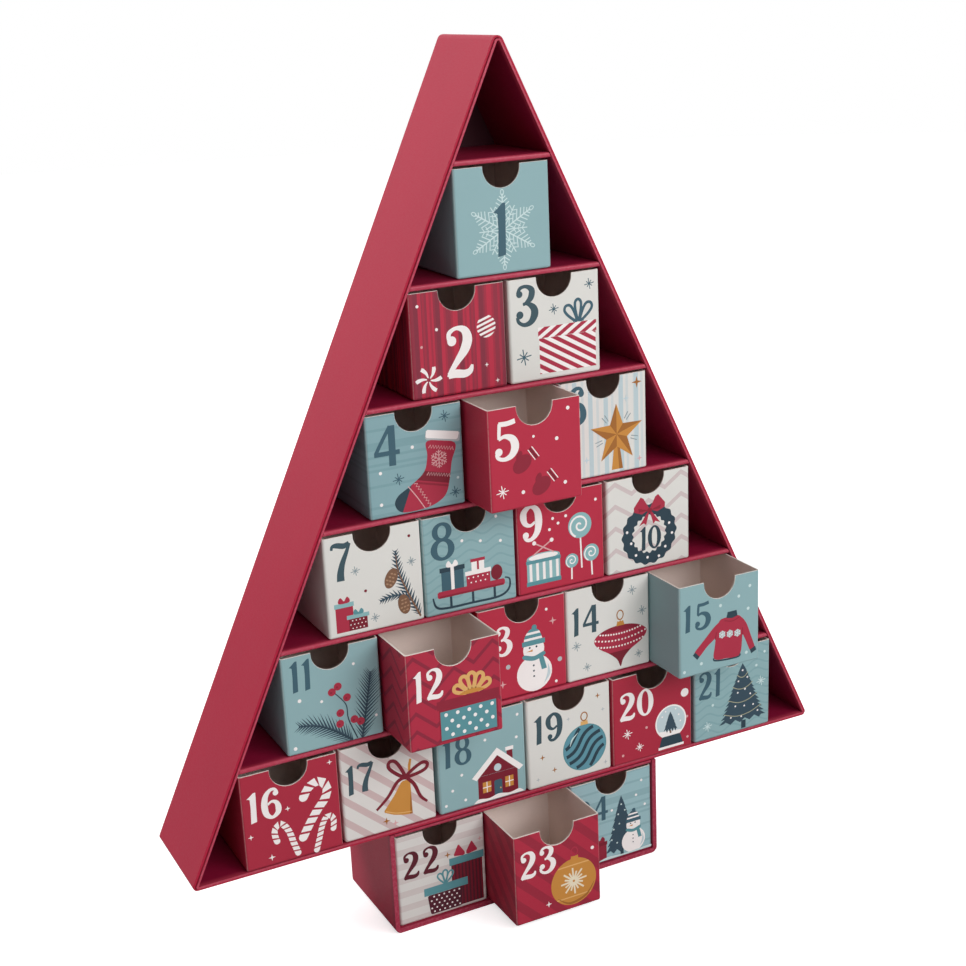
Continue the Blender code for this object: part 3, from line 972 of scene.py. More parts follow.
def fir_tree(u, low, high, half, tiers):
    """Outline of a jagged fir tree."""
    left = [(u, high)]
    for tier in range(1, tiers + 1):
        reach = half * (tier / tiers) ** 0.9
        level = high + (low - high) * tier / tiers
        left += [(u - reach, level), (u - reach * 0.80 - 0.2, level + 0.25)]
    fringe = 7
    hem = [(u - half * 0.72 + half * 1.44 * i / fringe, low - (1.2 if i % 2 else -0.9))
           for i in range(fringe + 1)]
    right = [(2 * u - a, b) for a, b in left[:0:-1]]
    return left + hem + right


def dotted(left, low, right, high, across, up, radius):
    """Rows of dots, each shifted against the next, as outlines."""
    rows = max(1, round((high - low) / up))
    outlines = []
    for row in range(rows):
        v = low + (row + 0.5) * (high - low) / rows
        u = left + across * (0.45 if row % 2 else 0.95)
        while u < right - radius:
            outlines.append(oval(u, v, radius, steps=10))
            u += across
    return outlines


def bow(p, ink, u, v, size, lift=0.5):
    """Two filled loops that meet at a knot."""
    for way in (-1, 1):
        p.fill(ink, smooth([(u, v), (u + way * 0.45 * size, v + (lift + 0.35) * size),
                            (u + way * 0.85 * size, v + lift * size),
                            (u + way * 0.80 * size, v + 0.02 * size)]))
    p.fill(ink, oval(u, v + 0.12 * size, 0.17 * size, 0.20 * size))


def ribbon_loop(p, ink, root, tip, spread, width):
    """Open loop of ribbon from a root out to a tip and back."""
    along_u, along_v = tip[0] - root[0], tip[1] - root[1]
    length = math.hypot(along_u, along_v)
    out_u, out_v = -along_v / length * spread / 2, along_u / length * spread / 2
    points = [root]
    for share, way in ((0.45, 0.75), (0.85, 0.85), (1.0, 0.0), (0.85, -0.85), (0.45, -0.75)):
        points.append((root[0] + along_u * share + out_u * way,
                       root[1] + along_v * share + out_v * way))
    p.stroke(ink, points, width, closed=True)


def gift(p, limits, body, lid, lid_height, overhang):
    """Box with an overhanging lid; limits are its left, low, right and high ends."""
    left, low, right, high = limits
    p.fill(body, box(left, low, right, high - lid_height))
    p.fill(lid, box(left - overhang, high - lid_height, right + overhang, high))


def bauble_cap(p, metal, u, v, ring=None):
    """Cap and hanging ring on top of a bauble."""
    p.fill(metal, [(u - 2.3, v - 0.4), (u + 2.3, v - 0.4), (u + 2.0, v + 2.0), (u + 1.0, v + 1.7),
                   (u, v + 2.3), (u - 1.0, v + 1.7), (u - 2.0, v + 2.0)])
    p.ring(ring or metal, oval(u, v + 4.4, 1.9, 2.4), 0.65)


SLICE_STARTS, SLICE_ENDS = 0.14, 0.86  # of a slice's pitch; the rest is the red stripe
TIP_MIDDLE = 0.45
TIP_STEPS = 8
CANE_STEPS = 12


def candy_cane(p, path, width, pitch, slant):
    """Slanted white slices of a candy cane, with round ends; the card shows between them."""
    line = smooth(path, CANE_STEPS, closed=False)
    reach = sum(math.dist(a, b) for a, b in zip(line, line[1:]))
    count = round(reach / pitch)
    pitch = reach / count

    def side_point(place, way):
        """Point on one side of the cane, where a slanted cut through a place meets it."""
        (u, v), (along_u, along_v) = place_along(line, place + slant * way * pitch)
        return u - way * along_v * width / 2, v + way * along_u * width / 2

    corners = ((SLICE_STARTS, -1), (SLICE_ENDS, -1), (SLICE_ENDS, 1), (SLICE_STARTS, 1))
    slices = [[side_point((i + share) * pitch, way) for share, way in corners]
              for i in range(1, count - 1)]
    for middle, inner, out in (
            (TIP_MIDDLE * pitch, SLICE_ENDS * pitch, -1),
            (reach - TIP_MIDDLE * pitch, reach - SLICE_ENDS * pitch, 1)):
        (u, v), (along_u, along_v) = place_along(line, middle)
        turn = math.atan2(out * along_v, out * along_u)
        tip = [turned(u, v, turn + math.pi * i / TIP_STEPS, width / 2)
               for i in range(-TIP_STEPS // 2, TIP_STEPS // 2 + 1)]
        slices.append(tip + [side_point(inner, way) for way in (out, -out)])
    p.fill("white", *slices)


def snowman(p, u, low, size, hat, scarf):
    """Two balls of snow with a striped hat and a scarf, in a plain design."""
    def at(*places):
        return [(u + across * size, low + up * size) for across, up in places]

    p.fill("white", oval(u, low + 0.30 * size, 0.31 * size, 0.30 * size, steps=30))
    shade = at((0.16, 0.09), (0.25, 0.24), (0.24, 0.42))
    p.stroke("pale_blue", [(*place, width)
                           for place, width in zip(shade, (0.01, 0.05 * size, 0.01))])
    p.fill("white", oval(u, low + 0.70 * size, 0.185 * size, steps=26))
    cap = smooth(at((-0.17, 0.80), (-0.15, 0.93), (-0.04, 1.04), (0.10, 1.00), (0.17, 0.80)),
                 closed=False)
    p.fill("white", cap)
    p.fill(hat, *bands(cap, 0, 0.095 * size, 0.055 * size))
    p.fill(hat, at((-0.20, 0.77), (0.20, 0.77), (0.20, 0.85), (-0.20, 0.85)))
    p.dots(hat, 0.045 * size, *at((0.02, 1.06)))
    p.fill(scarf, smooth(at((-0.19, 0.57), (0.0, 0.51), (0.19, 0.57), (0.17, 0.63),
                            (0.0, 0.585), (-0.17, 0.63))))
    p.fill(scarf, at((0.08, 0.56), (0.16, 0.57), (0.22, 0.34), (0.13, 0.33)))
    p.dots("dark_slate", 0.017 * size, *at((-0.07, 0.735), (0.05, 0.735)))
    p.fill("gold", at((-0.02, 0.70), (-0.02, 0.665), (-0.13, 0.675)))
    p.dots("dark_slate", 0.016 * size, *at((-0.01, 0.25), (-0.01, 0.34), (-0.01, 0.43)))


# Where each number stands on its drawer: left, low, right, high, and its ink
NUMBERS = {
    1: (20.0, 8.0, 27.5, 33.0, "slate"), 2: (17.5, 7.5, 32.5, 32.5, "white"),
    3: (3.5, 27.5, 15.5, 47.5, "grey_slate"), 4: (3.5, 25.0, 17.0, 45.0, "slate"),
    5: (2.5, 25.0, 15.5, 44.5, "white"), 6: (3.0, 28.0, 15.0, 48.0, "slate"),
    7: (3.5, 28.0, 14.0, 47.5, "grey_slate"), 8: (4.0, 28.0, 17.0, 47.5, "slate"),
    9: (2.0, 28.0, 14.5, 47.0, "white"), 10: (19.5, 9.5, 32.0, 22.5, "dark_slate"),
    11: (4.0, 32.0, 15.0, 48.0, "slate"), 12: (3.5, 25.0, 19.0, 41.0, "white"),
    13: (3.0, 24.0, 18.5, 40.0, "white"), 14: (3.0, 25.0, 19.0, 40.5, "grey_slate"),
    15: (2.5, 25.0, 19.0, 40.0, "slate"), 16: (3.0, 25.0, 20.0, 41.0, "white"),
    17: (2.5, 25.0, 17.5, 41.0, "grey_slate"), 18: (3.0, 25.0, 19.0, 41.0, "slate"),
    19: (4.0, 25.0, 21.0, 41.0, "grey_slate"), 20: (4.0, 25.0, 25.0, 41.0, "white"),
    21: (2.5, 24.5, 17.5, 41.0, "slate"), 22: (3.0, 25.5, 23.5, 41.0, "wine"),
    23: (3.0, 25.5, 23.5, 41.0, "white"), 24: (3.0, 25.5, 22.5, 40.0, "slate"),
}


# Pictures, one for each drawer

def great_snowflake(p):
    p.fill("frost", snowflake(25, 20.5, 16.8, 0.62, ((0.20, 0.20), (0.34, 0.26), (0.48, 0.28),
                                                     (0.62, 0.24), (0.75, 0.18), (0.86, 0.11))))
    p.fill("frost", snowflake(25, 20.5, 12.6, 0.5, ((0.42, 0.16), (0.60, 0.22), (0.78, 0.16)),
                              start=60.0))
    for i in range(6):
        turn = math.radians(90 + 60 * i)
        p.ring("frost", oval(*turned(25, 20.5, turn, 17.4), 0.8, 1.3, turn + math.pi / 2), 0.4)


def sweets(p):
    for i in range(6):
        turn = math.radians(104 + 60 * i)
        points = [(1.0, 0.0, 0.5), (3.2, 0.10, 1.3), (5.4, 0.26, 1.9), (6.6, 0.36, 1.7)]
        p.stroke("white", [(*turned(8.5, 9.0, turn + bend, reach), width)
                           for reach, bend, width in points])
    p.fill("white", *bands(oval(39.7, 30.5, 5.0, 5.4, steps=36), 18, 2.15, 1.15))
    p.sparkles("white", 1.2, (39.2, 12.0), (44.7, 3.6))
    p.dots("white", 0.75, (4.5, 44.3), (13.8, 32.3))
    p.dots("pink", 0.65, (5.7, 25.0))


def striped_gift(p):
    p.fill("crimson", box(16, 3, 47.5, 20.5))
    p.fill("white", *bands(box(16, 3, 47.5, 20.5), -30, 3.9, 1.9, 0.7))
    p.fill("crimson", box(15.5, 20.6, 48, 26))
    p.fill("white", *bands(box(15.5, 20.6, 48, 26), 32, 3.7, 1.8, 1.5))
    ribbon_loop(p, "slate", (37.0, 26.6), (31.2, 34.5), 4.6, 1.4)
    ribbon_loop(p, "slate", (39.0, 26.6), (45.0, 34.8), 4.6, 1.4)
    ribbon_loop(p, "slate", (38.0, 26.8), (38.0, 37.2), 3.8, 1.4)
    p.stroke("slate", [(35.0, 26.6, 0.9), (38.0, 27.3, 1.5), (41.0, 26.6, 0.9)])
    p.asterisks("slate", 2.7, (44.5, 44.0), (24.5, 34.0))
    p.asterisks("slate", 4.0, (7.5, 12.5))


def stocking(p):
    leg = smooth([(31.5, 34.2), (31.0, 27.0), (29.0, 19.5), (22.0, 14.0), (15.0, 10.0),
                  (12.9, 5.8), (16.0, 1.6), (24.0, 1.0), (33.0, 2.2), (39.5, 6.0),
                  (42.0, 13.0), (43.6, 22.0), (45.6, 31.2)])
    p.fill("crimson", leg)
    p.fill("maroon", cut(cut(leg, 0.26, 1.0, 27.4), -0.26, -1.0, -22.4))
    p.fill("dark_red", cut(cut(leg, 0.26, 1.0, 21.6), -0.26, -1.0, -20.6))
    p.fill("dark_slate", cut(leg, 0.92, -0.39, 14.8))
    p.stroke("pink", [(20.2, 13.6), (24.5, 7.6), (28.4, 1.3)], 0.5)
    p.line("pink", zigzag((24.0, 14.8), (31.4, 2.2), 8, 0.7), 0.4)
    p.line("pink", zigzag((32.0, 31.4), (44.9, 28.4), 9, 0.8), 0.4)
    p.line("pink", zigzag((30.4, 18.2), (42.5, 15.4), 9, 0.8), 0.4)
    p.fill("pink", snowflake(37.0, 24.4, 4.5, 0.5, ((0.36, 0.3), (0.68, 0.3))),
           *(oval(*turned(37.0, 24.4, math.pi * i / 3, 3.3), 0.5, steps=8)
             for i in range(6)))
    # Grey edge showing below and right of the white cuff: painted shade
    p.fill("grey", smooth_corners([(31.0, 39.8), (48.8, 36.2), (48.2, 31.3), (30.2, 35.0)]))
    p.fill("white", smooth_corners([(31.1, 39.7), (48.3, 36.2), (47.2, 32.4), (30.5, 35.8)]))
    p.dots("white", 0.85, (23.5, 32.5), (6.5, 22.5), (6.0, 7.0))
    p.dots("frost", 0.7, (46.5, 13.5))
    p.asterisks("slate", 3.0, (41.0, 45.0), (15.5, 18.0), (44.8, 6.6))


def mittens(p):
    for u, v, turn in ((17.5, 22.0, 0.62), (27.5, 9.5, 0.62)):
        hand = oval(u, v, 5.6, 3.9, turn, 26)
        p.fill("dark_red", hand)
        p.fill("dark_red", oval(u - 1.5, v + 4.2, 2.6, 1.5, turn + 0.5))
        for ink, shift_u, shift_v, width in (("white", 0.0, 0.0, 0.45), ("white", 2.08, 1.43, 0.45),
                                             ("maroon", 1.0, 0.7, 1.3)):
            p.line(ink, [turned(u + shift_u, v + shift_v, turn, 6.3, way * 3.3)
                         for way in (-1, 1)], width)
    p.dots("white", 0.95, (43.0, 45.5), (36.5, 31.5), (17.5, 8.0), (40.5, 9.0))
    p.dots("white", 0.7, (24.0, 34.5))
    p.asterisks("white", 3.3, (6.5, 9.8))


def shining_star(p):
    p.fill("gold", [(30.7, 15.6), (33.7, 15.6), (35.6, 2.0), (29.0, 2.0)])
    p.fill("dark_gold", [(32.4, 15.6), (33.7, 15.6), (35.6, 2.0), (33.4, 2.0)])
    tips = star(32.2, 20.3, 5, 15.8, 6.4)
    p.fill("gold", tips)
    for first, ink in ((0, "dark_gold"), (1, "gold")):
        p.fill(ink, *([(32.2, 20.3), tips[i], tips[(i + 1) % 10]] for i in range(first, 10, 2)))
    p.rays("ash", 32.2, 20.3, 8.8, 12.8, (49, 58, 122, 131, 193, 202, 338, 347), 0.4)
    p.sparkles("dark_gold", 3.0, (44.5, 45.5))
    p.sparkles("pale_blue", 2.0, (38.0, 38.0), (14.5, 9.5))
    p.sparkles("pink", 1.7, (45.5, 5.5))


def cones_and_gifts(p):
    p.fill("fir", needles([(47.5, 3.0), (42.0, 15.0), (37.5, 27.0), (36.5, 38.0)], 6.4, 6))
    p.fill("fir", needles([(43.0, 13.0), (35.0, 15.5), (27.0, 14.0)], 5.0, 5))
    p.stroke("brown", [(47.8, 2.0, 1.0), (42.0, 15.0, 0.8), (37.5, 27.0, 0.6), (36.6, 36.0, 0.3)])
    for u, v, turn in ((33.5, 24.5, 1.15), (39.5, 10.0, 1.75)):
        p.fill("brown", oval(u, v, 5.2, 3.2, turn, 22))
        p.fill("pale_brown", *(oval(*turned(u, v, turn, along, side), 0.45, 0.75, turn, 8)
                               for along, side in ((-3.2, -0.9), (-3.2, 0.9), (-1.4, -1.7),
                                                   (-1.4, 0.0), (-1.4, 1.7), (0.5, -0.9),
                                                   (0.5, 0.9), (2.3, -1.2), (2.3, 0.5))))
    gift(p, (4.0, 2.5, 13.0, 17.2), "crimson", "teal", 2.3, 0.5)
    bow(p, "crimson", 8.6, 17.2, 3.4)
    gift(p, (10.5, 2.5, 20.0, 10.4), "maroon", "teal", 2.0, 1.0)
    p.fill("white", *dotted(10.5, 2.6, 20.0, 8.4, 1.9, 1.9, 0.33))
    bow(p, "dark_teal", 15.6, 10.4, 3.0)
    p.dots("maroon", 0.75, (44.0, 44.0), (20.0, 21.0))
    p.asterisks("ash", 2.4, (15.5, 32.0), (44.5, 31.0), (24.0, 6.5))


def sledge(p):
    p.stroke("dark_slate", [(4.0, 9.5, 0.8), (5.6, 4.6, 1.2), (11.0, 3.0, 1.2), (26.0, 2.9, 1.2),
                            (40.0, 3.0, 1.2), (45.6, 6.0, 1.2), (46.2, 11.0, 0.9),
                            (43.6, 12.4, 0.7)])
    for u in (13.0, 25.0, 37.0):
        p.fill("dark_slate", box(u, 3.2, u + 1.3, 9.5))
    p.fill("crimson", smooth_corners(box(6.5, 8.6, 43.5, 12.0)))
    p.fill("dark_red", box(7.5, 8.6, 42.5, 9.7))
    gift(p, (9.0, 12.0, 21.0, 24.0), "slate", "dark_slate", 2.4, 0.8)
    p.fill("white", box(14.1, 12.1, 15.9, 24.0))
    bow(p, "white", 15.0, 24.0, 3.6)
    gift(p, (22.5, 12.0, 35.5, 19.5), "crimson", "white", 2.2, 0.6)
    p.fill("white", *dotted(22.5, 12.2, 35.5, 17.2, 2.6, 2.4, 0.42))
    gift(p, (25.5, 19.5, 32.5, 25.5), "white", "crimson", 1.6, 0.5)
    p.fill("crimson", box(28.5, 19.6, 29.6, 25.4))
    p.fill("maroon", oval(39.2, 16.0, 3.2, 4.0, 0.0, 22))
    p.dots("white", 0.8, (21.0, 36.0), (42.0, 32.0), (40.0, 45.0), (31.0, 34.0))


def drum_and_lollies(p):
    p.fill("teal", box(5.0, 4.5, 24.0, 18.5))
    p.fill("white", *bands(box(5.0, 6.5, 24.0, 16.5), 90, 3.8, 1.5, 0.9))
    p.fill("teal", oval(14.5, 18.5, 9.5, 2.4, steps=30))
    p.fill("white", oval(14.5, 18.7, 8.4, 1.7, steps=30))
    p.fill("dark_teal", box(4.6, 4.2, 24.4, 6.3), box(4.6, 15.8, 24.4, 17.6))
    for root, tip in (((8.5, 20.0), (19.5, 26.5)), ((20.5, 20.0), (9.5, 26.5))):
        p.line("pink", [root, tip], 0.7)
        p.dots("white", 1.1, tip)
    for u, v, radius, foot in ((36.0, 31.0, 6.8, (36.6, 8.0)), (42.2, 15.2, 4.6, (42.6, 3.0)),
                               (30.8, 13.0, 3.8, (30.6, 3.0))):
        p.line("white", [(u, v), foot], 0.9)
        p.fill("teal", oval(u, v, radius, steps=30))
        swirl = (0.06 + 0.86 * i / 40 for i in range(41))
        p.line("white", [(*turned(u, v, 11.5 * share, radius * share), 0.15 * radius)
                         for share in swirl])
    p.dots("white", 0.8, (20.5, 37.5), (28.0, 37.5), (23.5, 34.5), (18.5, 32.0), (45.5, 43.0))


def wreath(p):
    radius, steps, leaves = 13.2, 108, 18
    points = []
    for i in range(steps):
        turn = 2 * math.pi * i / steps
        points.append((*turned(25.3, 18.3, turn, radius), 6.3 + 1.1 * math.cos(leaves * turn)))
    p.ring("dark_slate", points)
    p.dots("white", 0.75, (11.8, 21.5), (37.5, 22.0), (39.2, 16.2), (14.2, 15.0), (31.0, 5.0),
           (24.0, 5.6), (17.0, 8.0), (35.0, 9.5))
    for way in (-1, 1):
        for ink, side in (
                ("crimson", [(0.0, 31.6), (3.6, 37.9), (5.3, 38.9), (9.5, 33.8), (9.3, 31.4),
                             (4.6, 29.6)]),
                ("dark_red", [(0.0, 31.0), (6.8, 33.0), (6.4, 30.9)]),
                ("crimson", [(0.0, 30.8), (1.6, 29.8), (6.4, 23.4), (3.6, 24.6), (2.2, 23.4)])):
            p.fill(ink, [(25.6 + way * u, v) for u, v in side])
    p.dots("dark_red", 1.5, (25.6, 31.0))


def fir_and_berries(p):
    p.fill("fir", needles([(38.5, 0.4), (40.5, 10.0), (42.5, 20.0), (44.0, 28.0), (45.0, 34.0)],
                          11.5, 5))
    p.fill("fir", needles([(33.5, 0.8), (26.0, 7.0), (16.0, 12.5), (6.5, 14.4)], 10.5, 6))
    p.stroke("dark_slate", [(38.5, 0.4, 0.9), (42.0, 18.0, 0.6), (44.7, 32.0, 0.3)])
    p.stroke("dark_slate", [(33.5, 0.6, 0.9), (20.0, 10.5, 0.6), (8.0, 14.4, 0.3)])
    p.stroke("dark_slate", [(36.0, 1.0, 0.7), (32.0, 12.0, 0.6), (31.2, 20.0, 0.5),
                            (26.0, 27.0, 0.5)])
    for berry in ((24.5, 28.0), (27.7, 30.2), (32.0, 23.5), (28.0, 16.2), (27.5, 10.6),
                  (35.0, 11.2), (38.2, 9.4)):
        p.dots("crimson", 2.05, berry)
        p.dots("dark_red", 0.55, (berry[0] - 0.4, berry[1] - 0.3))
    p.dots("white", 0.95, (8.0, 27.5), (4.0, 3.5))
    p.dots("white", 0.75, (36.5, 40.0), (19.0, 24.5), (46.5, 10.5))


def gift_with_gold_bow(p):
    p.fill("dark_red", box(16.0, 1.8, 47.5, 18.5))
    p.fill("dark_teal", box(16.6, 2.5, 46.6, 17.5))
    p.fill("white", *dotted(16.8, 2.8, 46.4, 17.3, 6.2, 3.6, 1.0))
    p.fill("dark_red", box(15.0, 18.6, 48.5, 23.2))
    for root, tip, spread in (((31.0, 24.6), (24.6, 28.5), 4.0), ((32.5, 25.0), (29.0, 33.0), 4.2),
                              ((35.5, 25.0), (39.3, 33.0), 4.2), ((37.0, 24.6), (43.6, 28.5), 4.0),
                              ((34.0, 25.0), (34.0, 34.2), 4.2)):
        ribbon_loop(p, "pale_gold", root, tip, spread, 1.9)
    p.fill("gold", smooth([(27.0, 24.2), (34.0, 26.0), (41.0, 24.2), (34.0, 23.6)]))


def winter_snowman(p):
    snowman(p, 31.0, 0.8, 33.0, "dark_teal", "dark_teal")
    p.sparkles("pink", 2.2, (42.5, 37.0), (12.5, 8.5))
    p.dots("white", 0.8, (39.0, 44.0), (43.5, 3.2))
    p.dots("grey", 1.3, (16.0, 17.5), (46.0, 15.0))


def onion_bauble(p):
    body = smooth([(16.0, 19.0), (18.0, 22.4), (24.0, 24.8), (32.0, 25.6), (40.0, 24.6),
                   (46.0, 22.0), (48.2, 18.8), (45.0, 14.6), (38.0, 10.6), (33.6, 6.4),
                   (31.8, 2.2), (29.8, 6.4), (25.2, 10.6), (19.0, 14.8)])
    p.fill("crimson", body)
    p.fill("maroon", cut(body, 0.0, 1.0, 11.0))
    p.fill("dark_red", cut(body, 0.0, -1.0, -22.4))
    for low, reach in ((20.9, 12.2), (17.4, 15.2), (13.9, 13.6)):
        places = [(32.0 - reach + 2 * reach * i / 15) for i in range(16)]
        p.fill("white", *(oval(u, low + 0.010 * (u - 32.0) ** 2, 0.55, steps=8)
                          for u in places))
    p.fill("gold", [(29.6, 25.3), (34.6, 25.3), (33.8, 28.0), (32.9, 27.5), (32.1, 28.2),
                    (31.2, 27.5), (30.3, 28.0)])
    p.ring("dark_gold", oval(32.0, 31.2, 1.9, 2.6), 0.65)
    p.asterisks("ash", 2.8, (39.5, 43.5), (45.5, 31.0), (5.5, 19.5))
    p.asterisks("ash", 2.5, (11.5, 6.5), (43.0, 7.0))


def jumper(p):
    for sleeve in ([(27.0, 27.4), (22.0, 25.0), (15.5, 19.0), (9.0, 12.6), (11.6, 9.8),
                    (17.0, 14.6), (21.8, 18.0), (25.0, 21.0)],
                   [(37.6, 27.0), (41.6, 23.0), (44.8, 15.0), (47.6, 6.6), (45.0, 5.4),
                    (41.4, 13.0), (39.0, 18.0), (36.5, 21.0)]):
        p.fill("crimson", smooth(sleeve))
    p.fill("dark_slate", [(8.2, 11.8), (10.9, 8.8), (12.4, 10.2), (9.7, 13.2)])
    p.fill("dark_slate", [(44.3, 6.8), (45.1, 4.4), (48.4, 5.8), (47.6, 8.2)])
    p.fill("crimson", smooth([(24.2, 26.4), (29.0, 28.4), (36.0, 28.3), (39.2, 25.0),
                              (39.2, 14.0), (37.4, 5.4), (29.0, 5.4), (21.6, 6.8),
                              (22.0, 14.0)]))
    p.stroke("dark_slate", [(21.2, 7.2), (22.0, 5.7), (29.0, 4.7), (36.8, 4.6), (38.0, 6.0)], 0.9)
    p.fill("dark_slate", [(30.0, 31.2), (35.6, 31.2), (36.2, 28.0), (32.8, 27.3), (29.2, 28.0)])
    p.stroke("dark_red", [(28.0, 26.9), (32.8, 25.6), (37.2, 26.7)], 0.5)
    p.line("dark_red", [(23.0, 21.4), (22.2, 17.4)], 0.5)
    p.line("dark_red", [(39.4, 20.6), (39.7, 16.4)], 0.5)
    for u, v in ((26.6, 19.4), (31.4, 18.8), (36.2, 18.2)):
        p.fill("frost", snowflake(u, v, 2.2, 0.6, ((0.45, 0.4),)))
    p.dots("frost", 0.9, (44.0, 43.0), (37.0, 38.6), (25.5, 35.8), (43.0, 30.5), (13.5, 6.0),
           (3.0, 3.5), (42.0, 5.8))


def candy_canes(p):
    candy_cane(p, [(28.6, 8.8), (33.6, 17.0), (38.4, 23.6), (42.6, 28.6), (43.6, 34.0),
                   (40.4, 38.0), (35.6, 37.2), (32.4, 33.6), (30.6, 29.8)], 4.6, 4.5, -0.26)
    candy_cane(p, [(26.8, 1.8), (24.6, 9.0), (22.4, 16.5), (18.8, 21.2), (15.6, 18.8),
                   (15.6, 14.6), (16.8, 11.0)], 3.1, 2.9, 0.22)
    candy_cane(p, [(35.6, 0.6), (37.8, 7.5), (40.0, 14.6), (43.0, 18.6), (45.8, 16.0),
                   (45.2, 9.6)], 3.0, 2.8, -0.26)
    p.sparkles("white", 1.5, (46.0, 46.5), (23.0, 28.0), (3.5, 18.0))
    p.sparkles("white", 1.8, (13.0, 4.5))


def bell(p):
    p.stroke("gold", [(36.3, 29.0, 1.0), (36.6, 33.0, 1.5), (37.4, 36.4, 1.1)])
    p.fill("gold", smooth_corners([(31.8, 25.2), (36.6, 25.6), (36.9, 6.0), (32.0, 6.6),
                                   (26.5, 8.2), (21.2, 11.0), (27.6, 18.8)]))
    p.fill("dark_gold", [(36.6, 20.0), (36.9, 6.1), (35.4, 6.2), (35.9, 13.0)])
    p.stroke("pale_gold", [(22.5, 11.2), (28.5, 8.6), (36.4, 7.4)], 0.5)
    ribbon_loop(p, "maroon", (33.8, 27.2), (26.0, 37.4), 5.0, 1.9)
    ribbon_loop(p, "maroon", (34.4, 27.2), (46.4, 31.4), 4.8, 1.9)
    p.stroke("maroon", [(34.0, 27.0, 1.8), (29.6, 25.6, 1.9), (24.0, 18.6, 1.7),
                        (17.6, 13.2, 1.3)])
    p.stroke("maroon", [(34.4, 27.0, 1.8), (38.6, 22.0, 1.9), (41.6, 14.6, 1.7),
                        (45.2, 10.6, 1.3)])
    p.dots("maroon", 1.5, (34.2, 27.2))
    p.sparkles("dark_gold", 2.1, (22.5, 5.8))
    p.sparkles("pink", 1.9, (27.2, 3.4))


def snowy_house(p):
    p.fill("maroon", box(22.0, 2.0, 45.0, 15.5), [(22.0, 15.6), (45.0, 15.6), (33.5, 26.5)])
    p.fill("maroon", box(39.0, 20.0, 42.4, 27.5))
    p.fill("white", box(38.4, 26.4, 43.0, 28.4))
    p.fill("white", [(33.5, 29.5), (48.4, 15.6), (45.8, 13.8), (33.5, 25.3), (21.2, 13.8),
                     (18.6, 15.6)])
    p.fill("gold", box(24.6, 5.8, 29.4, 11.8), box(37.6, 5.8, 42.4, 11.8))
    for u in (27.0, 40.0):
        p.line("white", [(u, 5.8), (u, 11.8)], 0.5)
        p.line("white", [(u - 2.4, 8.8), (u + 2.4, 8.8)], 0.5)
    p.fill("slate", smooth_corners(box(31.2, 2.0, 35.8, 11.4)))
    p.dots("pale_gold", 0.4, (34.8, 6.4))
    p.fill("pale_blue", oval(33.5, 18.4, 2.1, steps=18))
    p.fill("white", smooth([(19.0, 1.0), (22.0, 3.0), (28.0, 2.2), (33.5, 3.4), (40.0, 2.2),
                            (45.5, 3.0), (48.4, 1.0)], closed=False))
    p.dots("white", 0.8, (46.0, 45.0), (27.0, 35.5), (45.0, 32.5), (13.0, 19.5), (7.5, 12.0),
           (3.5, 4.5), (14.5, 5.0))


def wavy_bauble(p):
    u, v, radius, steps = 34.0, 16.5, 13.2, 44
    p.fill("dark_teal", oval(u, v, radius, steps=steps))
    p.fill("steel", oval(u, v, 12.6, steps=steps))
    lean, swing, pace, limit = math.radians(38), 1.6, 0.26, 12.2
    for shift in (-9.4, -4.7, 0.0, 4.7, 9.4):
        points = []
        for i in range(steps + 1):
            along = -radius + 2 * radius * i / steps
            out = shift + swing * math.sin(along * pace)
            if math.hypot(along, out) < limit:
                points.append((*turned(u, v, lean, along, out), 2.0))
        p.line("dark_slate", points)
    p.stroke("frost", [(25.0, 19.0, 0.2), (26.6, 22.8, 0.9), (30.0, 25.8, 0.2)])
    bauble_cap(p, "pale_gold", 34.0, 29.8, "dark_gold")
    p.sparkles("dark_gold", 1.7, (42.5, 44.0), (8.5, 17.0), (15.5, 8.2))
    p.sparkles("grey", 1.3, (24.5, 35.0), (45.5, 35.5), (5.5, 5.0), (46.5, 4.5))


def snow_globe(p):
    p.fill("white", oval(36.5, 17.5, 9.9, steps=40))
    p.fill("pale_blue", oval(36.5, 17.5, 9.0, steps=40))
    p.fill("white", cut(oval(36.5, 17.5, 9.0, steps=40), 0.10, 1.0, 15.8))
    p.fill("fir", fir_tree(36.2, 12.6, 23.6, 4.4, 5))
    p.fill("brown", box(35.7, 10.8, 36.7, 12.4))
    p.dots("white", 0.5, (31.0, 21.5), (41.6, 20.6), (33.2, 24.2), (39.6, 24.4), (42.6, 16.6))
    p.fill("dark_slate", smooth_corners([(28.6, 2.4), (44.4, 2.4), (42.4, 9.4), (30.6, 9.4)]))
    p.fill("white", box(28.4, 2.2, 44.6, 3.6))
    p.dots("white", 2.5, (45.5, 32.5))
    p.asterisks("white", 3.0, (9.0, 17.0))
    p.asterisks("white", 2.6, (16.5, 7.6))
    p.dots("pink", 0.75, (21.0, 18.0), (6.0, 5.2), (47.0, 18.0), (47.2, 5.8))


